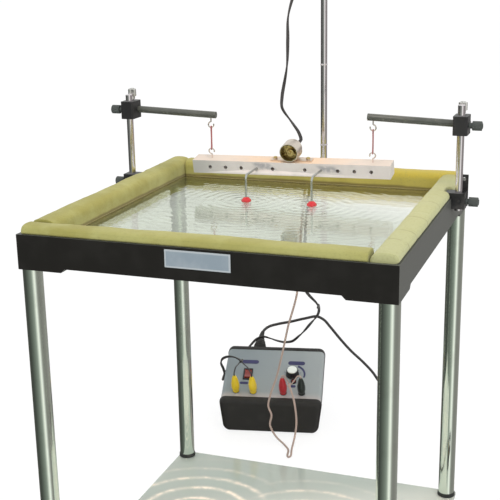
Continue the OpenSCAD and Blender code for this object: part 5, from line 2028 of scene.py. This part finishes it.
def round_box(width: float, height: float, radius: float, steps: int = 8) -> list[Point]:
    """Returns the outline of a rectangle with round corners, centred."""
    corners = ((1, 1), (-1, 1), (-1, -1), (1, -1))
    return [
        (
            sx * (width / 2 - radius) + radius * math.cos(a),
            sy * (height / 2 - radius) + radius * math.sin(a),
        )
        for k, (sx, sy) in enumerate(corners)
        for a in (math.pi / 2 * (k + i / steps) for i in range(steps + 1))
    ]


@dataclass
class ControlUnit:
    """The sloping bench unit behind the tank, with its dial, rocker, lamp and marks."""

    place: UnitPlace
    bezel: float = 9.0
    foot: float = 3.0
    dial_at: Point = (36.0, 70.5)
    dial_d: float = 25.0
    dial_h: float = 15.0
    rocker_at: Point = (-48.0, 67.8)
    lamp_at: Point = (39.5, 52.5)
    taper: float = 0.085
    bars: tuple[tuple[float, float, float, float], ...] = (
        (-46.4, 99.9, 32.0, 9.5), (41.5, 99.9, 32.0, 9.5), (-53.1, 45.8, 16.0, 6.0),
        (36.5, 41.5, 15.5, 6.0),
    )

    def loft(
        self, sections: Sequence[tuple[float, float, float, float]], low: float, side: float
    ) -> bmesh.types.BMesh:
        """Bridges upright round-cornered sections into one closed skin.

        Args:
            sections: Each section's depth, inset, corner radius and rise over the panel.
            low: The height of the sections' feet.
            side: How far they stand beyond the unit's width.

        Returns:
            The closed mesh.
        """
        part = bmesh.new()
        loops = []
        for y, inset, radius, rise in sections:
            top = self.place.slope_z(y) + rise
            width = self.place.width + 2 * side - 2 * inset
            outline = round_box(width, top - low - 2 * inset, radius)
            verts = []
            for x, z in outline:
                height = (top + low) / 2 + z
                narrow = 1 - self.taper * max(0.0, 1 - height / self.place.front_h)
                verts.append(part.verts.new((x * narrow, y, height)))
            loops.append([part.edges.new((a, b)) for a, b in zip(verts, verts[1:] + verts[:1])])
        for first, second in zip(loops, loops[1:]):
            bmesh.ops.bridge_loops(part, edges=first + second)
        for end in (loops[0], loops[-1]):
            bmesh.ops.contextual_create(part, geom=end)
        return part

    def shell(self) -> None:
        """Makes the painted shell between the bezels, with rounded long edges."""
        depth = self.place.depth
        finish = PanelFace("panel_shell_paint", "panel_pale", unit=self.place.base)
        part = self.loft(
            [(self.bezel - 2, 0, 7, 0), (depth - self.bezel + 2, 0, 9, 0)], self.foot, 0.0
        )
        form = Form().take(part, self.place.base)
        form.piece("unit_shell", Body.STAND, finish, "unit_case", "unit_panel")
        feet = Form()
        for x in (-76, 76):
            for y in (19, depth - 19):
                feet.lathe([(0, 0), (6.4, 0), (7, 0.6), (7, 3.4), (0, 3.4)],
                           self.place.base @ at(x, y, 0), 28)
        feet.piece("unit_feet", Body.STAND, Stock.FERRULE)
        keep(Stock.IRON, "unit_transformer")

    def bezels(self) -> None:
        """Makes the two dark end caps that clasp the shell."""
        depth = self.place.depth
        low = self.foot - 1
        front = self.loft(
            [(0.3, 9, 10, 1.5), (0.6, 5.5, 11, 1.5), (1.8, 2.4, 12, 1.5), (4.0, 0.5, 12, 1.5),
             (7.0, 0, 12, 1.5), (9.6, 0, 12, 1.5), (10.4, 0.7, 11, 1.5)],
            low, 2.5,
        )
        form = Form().take(front, self.place.base)
        rear = self.loft(
            [(depth - 10.4, 0.7, 11, 1.5), (depth - 9.6, 0, 12, 1.5), (depth - 7, 0, 12, 1.5),
             (depth - 4, 0.5, 12, 1.5), (depth - 1.8, 2.4, 12, 1.5), (depth - 0.6, 5.5, 11, 1.5),
             (depth - 0.3, 9, 10, 1.5)],
            low, 1.0,
        )
        form.take(rear, self.place.base)
        form.piece("unit_end_caps", Body.STAND, Stock.BEZEL, "unit_bezels")

    def dial(self) -> None:
        """Makes the fluted speed dial with its silver cap and pointer."""
        face = self.place.panel(*self.dial_at)
        r = self.dial_d / 2
        skirt = Form().lathe(
            [(0, 0.6), (r - 0.4, 0.6), (r, 1.0), (r, 2.4), (r - 1.4, 3.4), (0, 3.4)], face, 56
        )
        skirt.knurl(self.dial_d - 3.2, self.dial_h - 5.2, face @ at(0, 0, 3.0), 22, 0.7, 0.5)
        skirt.block((1.2, 4.0, 0.5), face @ at(0, r - 2.6, 3.3), 0.15)
        skirt.piece("dial_grip", Body.DIAL, Stock.DIAL, "unit_dial")
        top = self.dial_h - 2.4
        cap = Form().lathe(
            [(0, top), (r - 3.4, top), (r - 3.0, top + 0.4), (r - 3.4, top + 1.6),
             (r - 4.2, top + 2.0), (r - 5.2, top + 1.7), (0, top + 1.7)],
            face, 56,
        )
        cap.piece("dial_cap", Body.DIAL, Stock.CAP)

    def rocker(self) -> None:
        """Makes the rocker and the rim that it tips in."""
        face = self.place.panel(*self.rocker_at)
        rim = Form()
        for x, y, w, d in ((0, 12.6, 17.4, 2.2), (0, -12.6, 17.4, 2.2), (-7.8, 0, 1.8, 25),
                           (7.8, 0, 1.8, 25)):
            rim.block((w, d, 2.4), face @ at(x, y, 1.0), 0.5)
        rim.piece("rocker_rim", Body.STAND, Stock.RIM)
        outline = [(-10, -4), (10, -4), (10, 1.5), (8.6, 3.4), (3.5, 1.9), (0, 1.5), (-3.5, 1.9),
                   (-8.6, 3.4), (-10, 1.5)]
        turn = Matrix(((0, 0, 1, 0), (1, 0, 0, 0), (0, 1, 0, 0), (0, 0, 0, 1)))
        key = Form().prism(outline, 12.6, face @ at(-6.3, 0, 0) @ turn, 0.6)
        key.piece("rocker_key", Body.ROCKER, Stock.ROCKER, "unit_rocker")

    def pilot_lamp(self) -> None:
        """Makes the small red lamp in its dark collar."""
        face = self.place.panel(*self.lamp_at)
        collar = Form().lathe(
            [(3.9, 0), (5.3, 0), (5.5, 0.5), (5.2, 2.6), (4.6, 3.2), (3.9, 2.6), (3.9, 0)], face, 36
        )
        collar.piece("pilot_collar", Body.STAND, Stock.RIM)
        lens = Form().lathe([(0, 0), (3.8, 0), (3.8, 2.2), (3.0, 3.6), (1.4, 4.4), (0, 4.6)], face, 32)
        lens.piece("pilot_lens", Body.STAND, Stock.ROCKER)

    def marks(self) -> None:
        """Lays plain marks on the panel: bare bars, a wedge scale and ticks round the dial."""
        form = Form()
        for x, y, w, d in self.bars:
            form.prism(round_box(w, d, d / 2 - 0.2, 5), 0.25, self.place.panel(x, y, 0.02))
        wedge = []
        steps = 16
        for k in range(steps + 1):
            a = math.radians(68 - 84 * k / steps)
            wedge.append((21.0 * math.cos(a), 21.0 * math.sin(a)))
        for k in range(steps + 1):
            a = math.radians(-16 + 84 * k / steps)
            r = 24.0 + 1.6 * k / steps
            wedge.append((r * math.cos(a), r * math.sin(a)))
        form.prism(wedge, 0.25, self.place.panel(*self.dial_at, 0.02))
        for k in range(9):
            spoke = Matrix.Rotation(math.radians(215 - 28 * k), 4, "Z")
            place = self.place.panel(*self.dial_at, 0.14) @ spoke @ at(15.6, 0, 0)
            form.block((2.6, 0.7, 0.25), place)
        form.piece("panel_marks", Body.STAND, Stock.MARK)
        nuts = Form()
        for x, y in Leads(self.place).motor_plug_at + Leads(self.place).lamp_plug_at:
            nuts.lathe([(2.1, 0), (6.2, 0), (6.4, 0.3), (6.0, 1.0), (2.1, 1.0), (2.1, 0)],
                       self.place.panel(x, y), 30)
        nuts.piece("socket_collars", Body.STAND, Stock.RIM)

    def build(self) -> None:
        """Makes the unit."""
        self.shell()
        self.bezels()
        self.dial()
        self.rocker()
        self.pilot_lamp()
        self.marks()


FRAME: dict[str, Any] = {}


def main() -> None:
    """Builds the camera, the leads, the part's dress and the studio, in that order."""
    logging.basicConfig(level=logging.INFO, format="%(message)s")
    FRAME.update(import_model())
    unit = UnitPlace()
    Camera().build()
    Leads(unit).build()
    Stand().build()
    FoamBeaches().build()
    Water().build()
    hangers = Hangers()
    hangers.build()
    screws = ScrewBodies()
    for node, body, axis in screws.rows:
        hangers.thumbscrew(node, Thumb(body), axis, 14.0, 13.0, Stock.KNOB)
    for node, body in screws.tops:
        hangers.thumbscrew(node, Thumb(body), Axis.UP, 12.0, 12.0, Stock.STEEL)
    WaveBeam().build()
    Lamp().build()
    ControlUnit(unit).build()
    Studio().build()


if __name__ == "__main__":
    main()
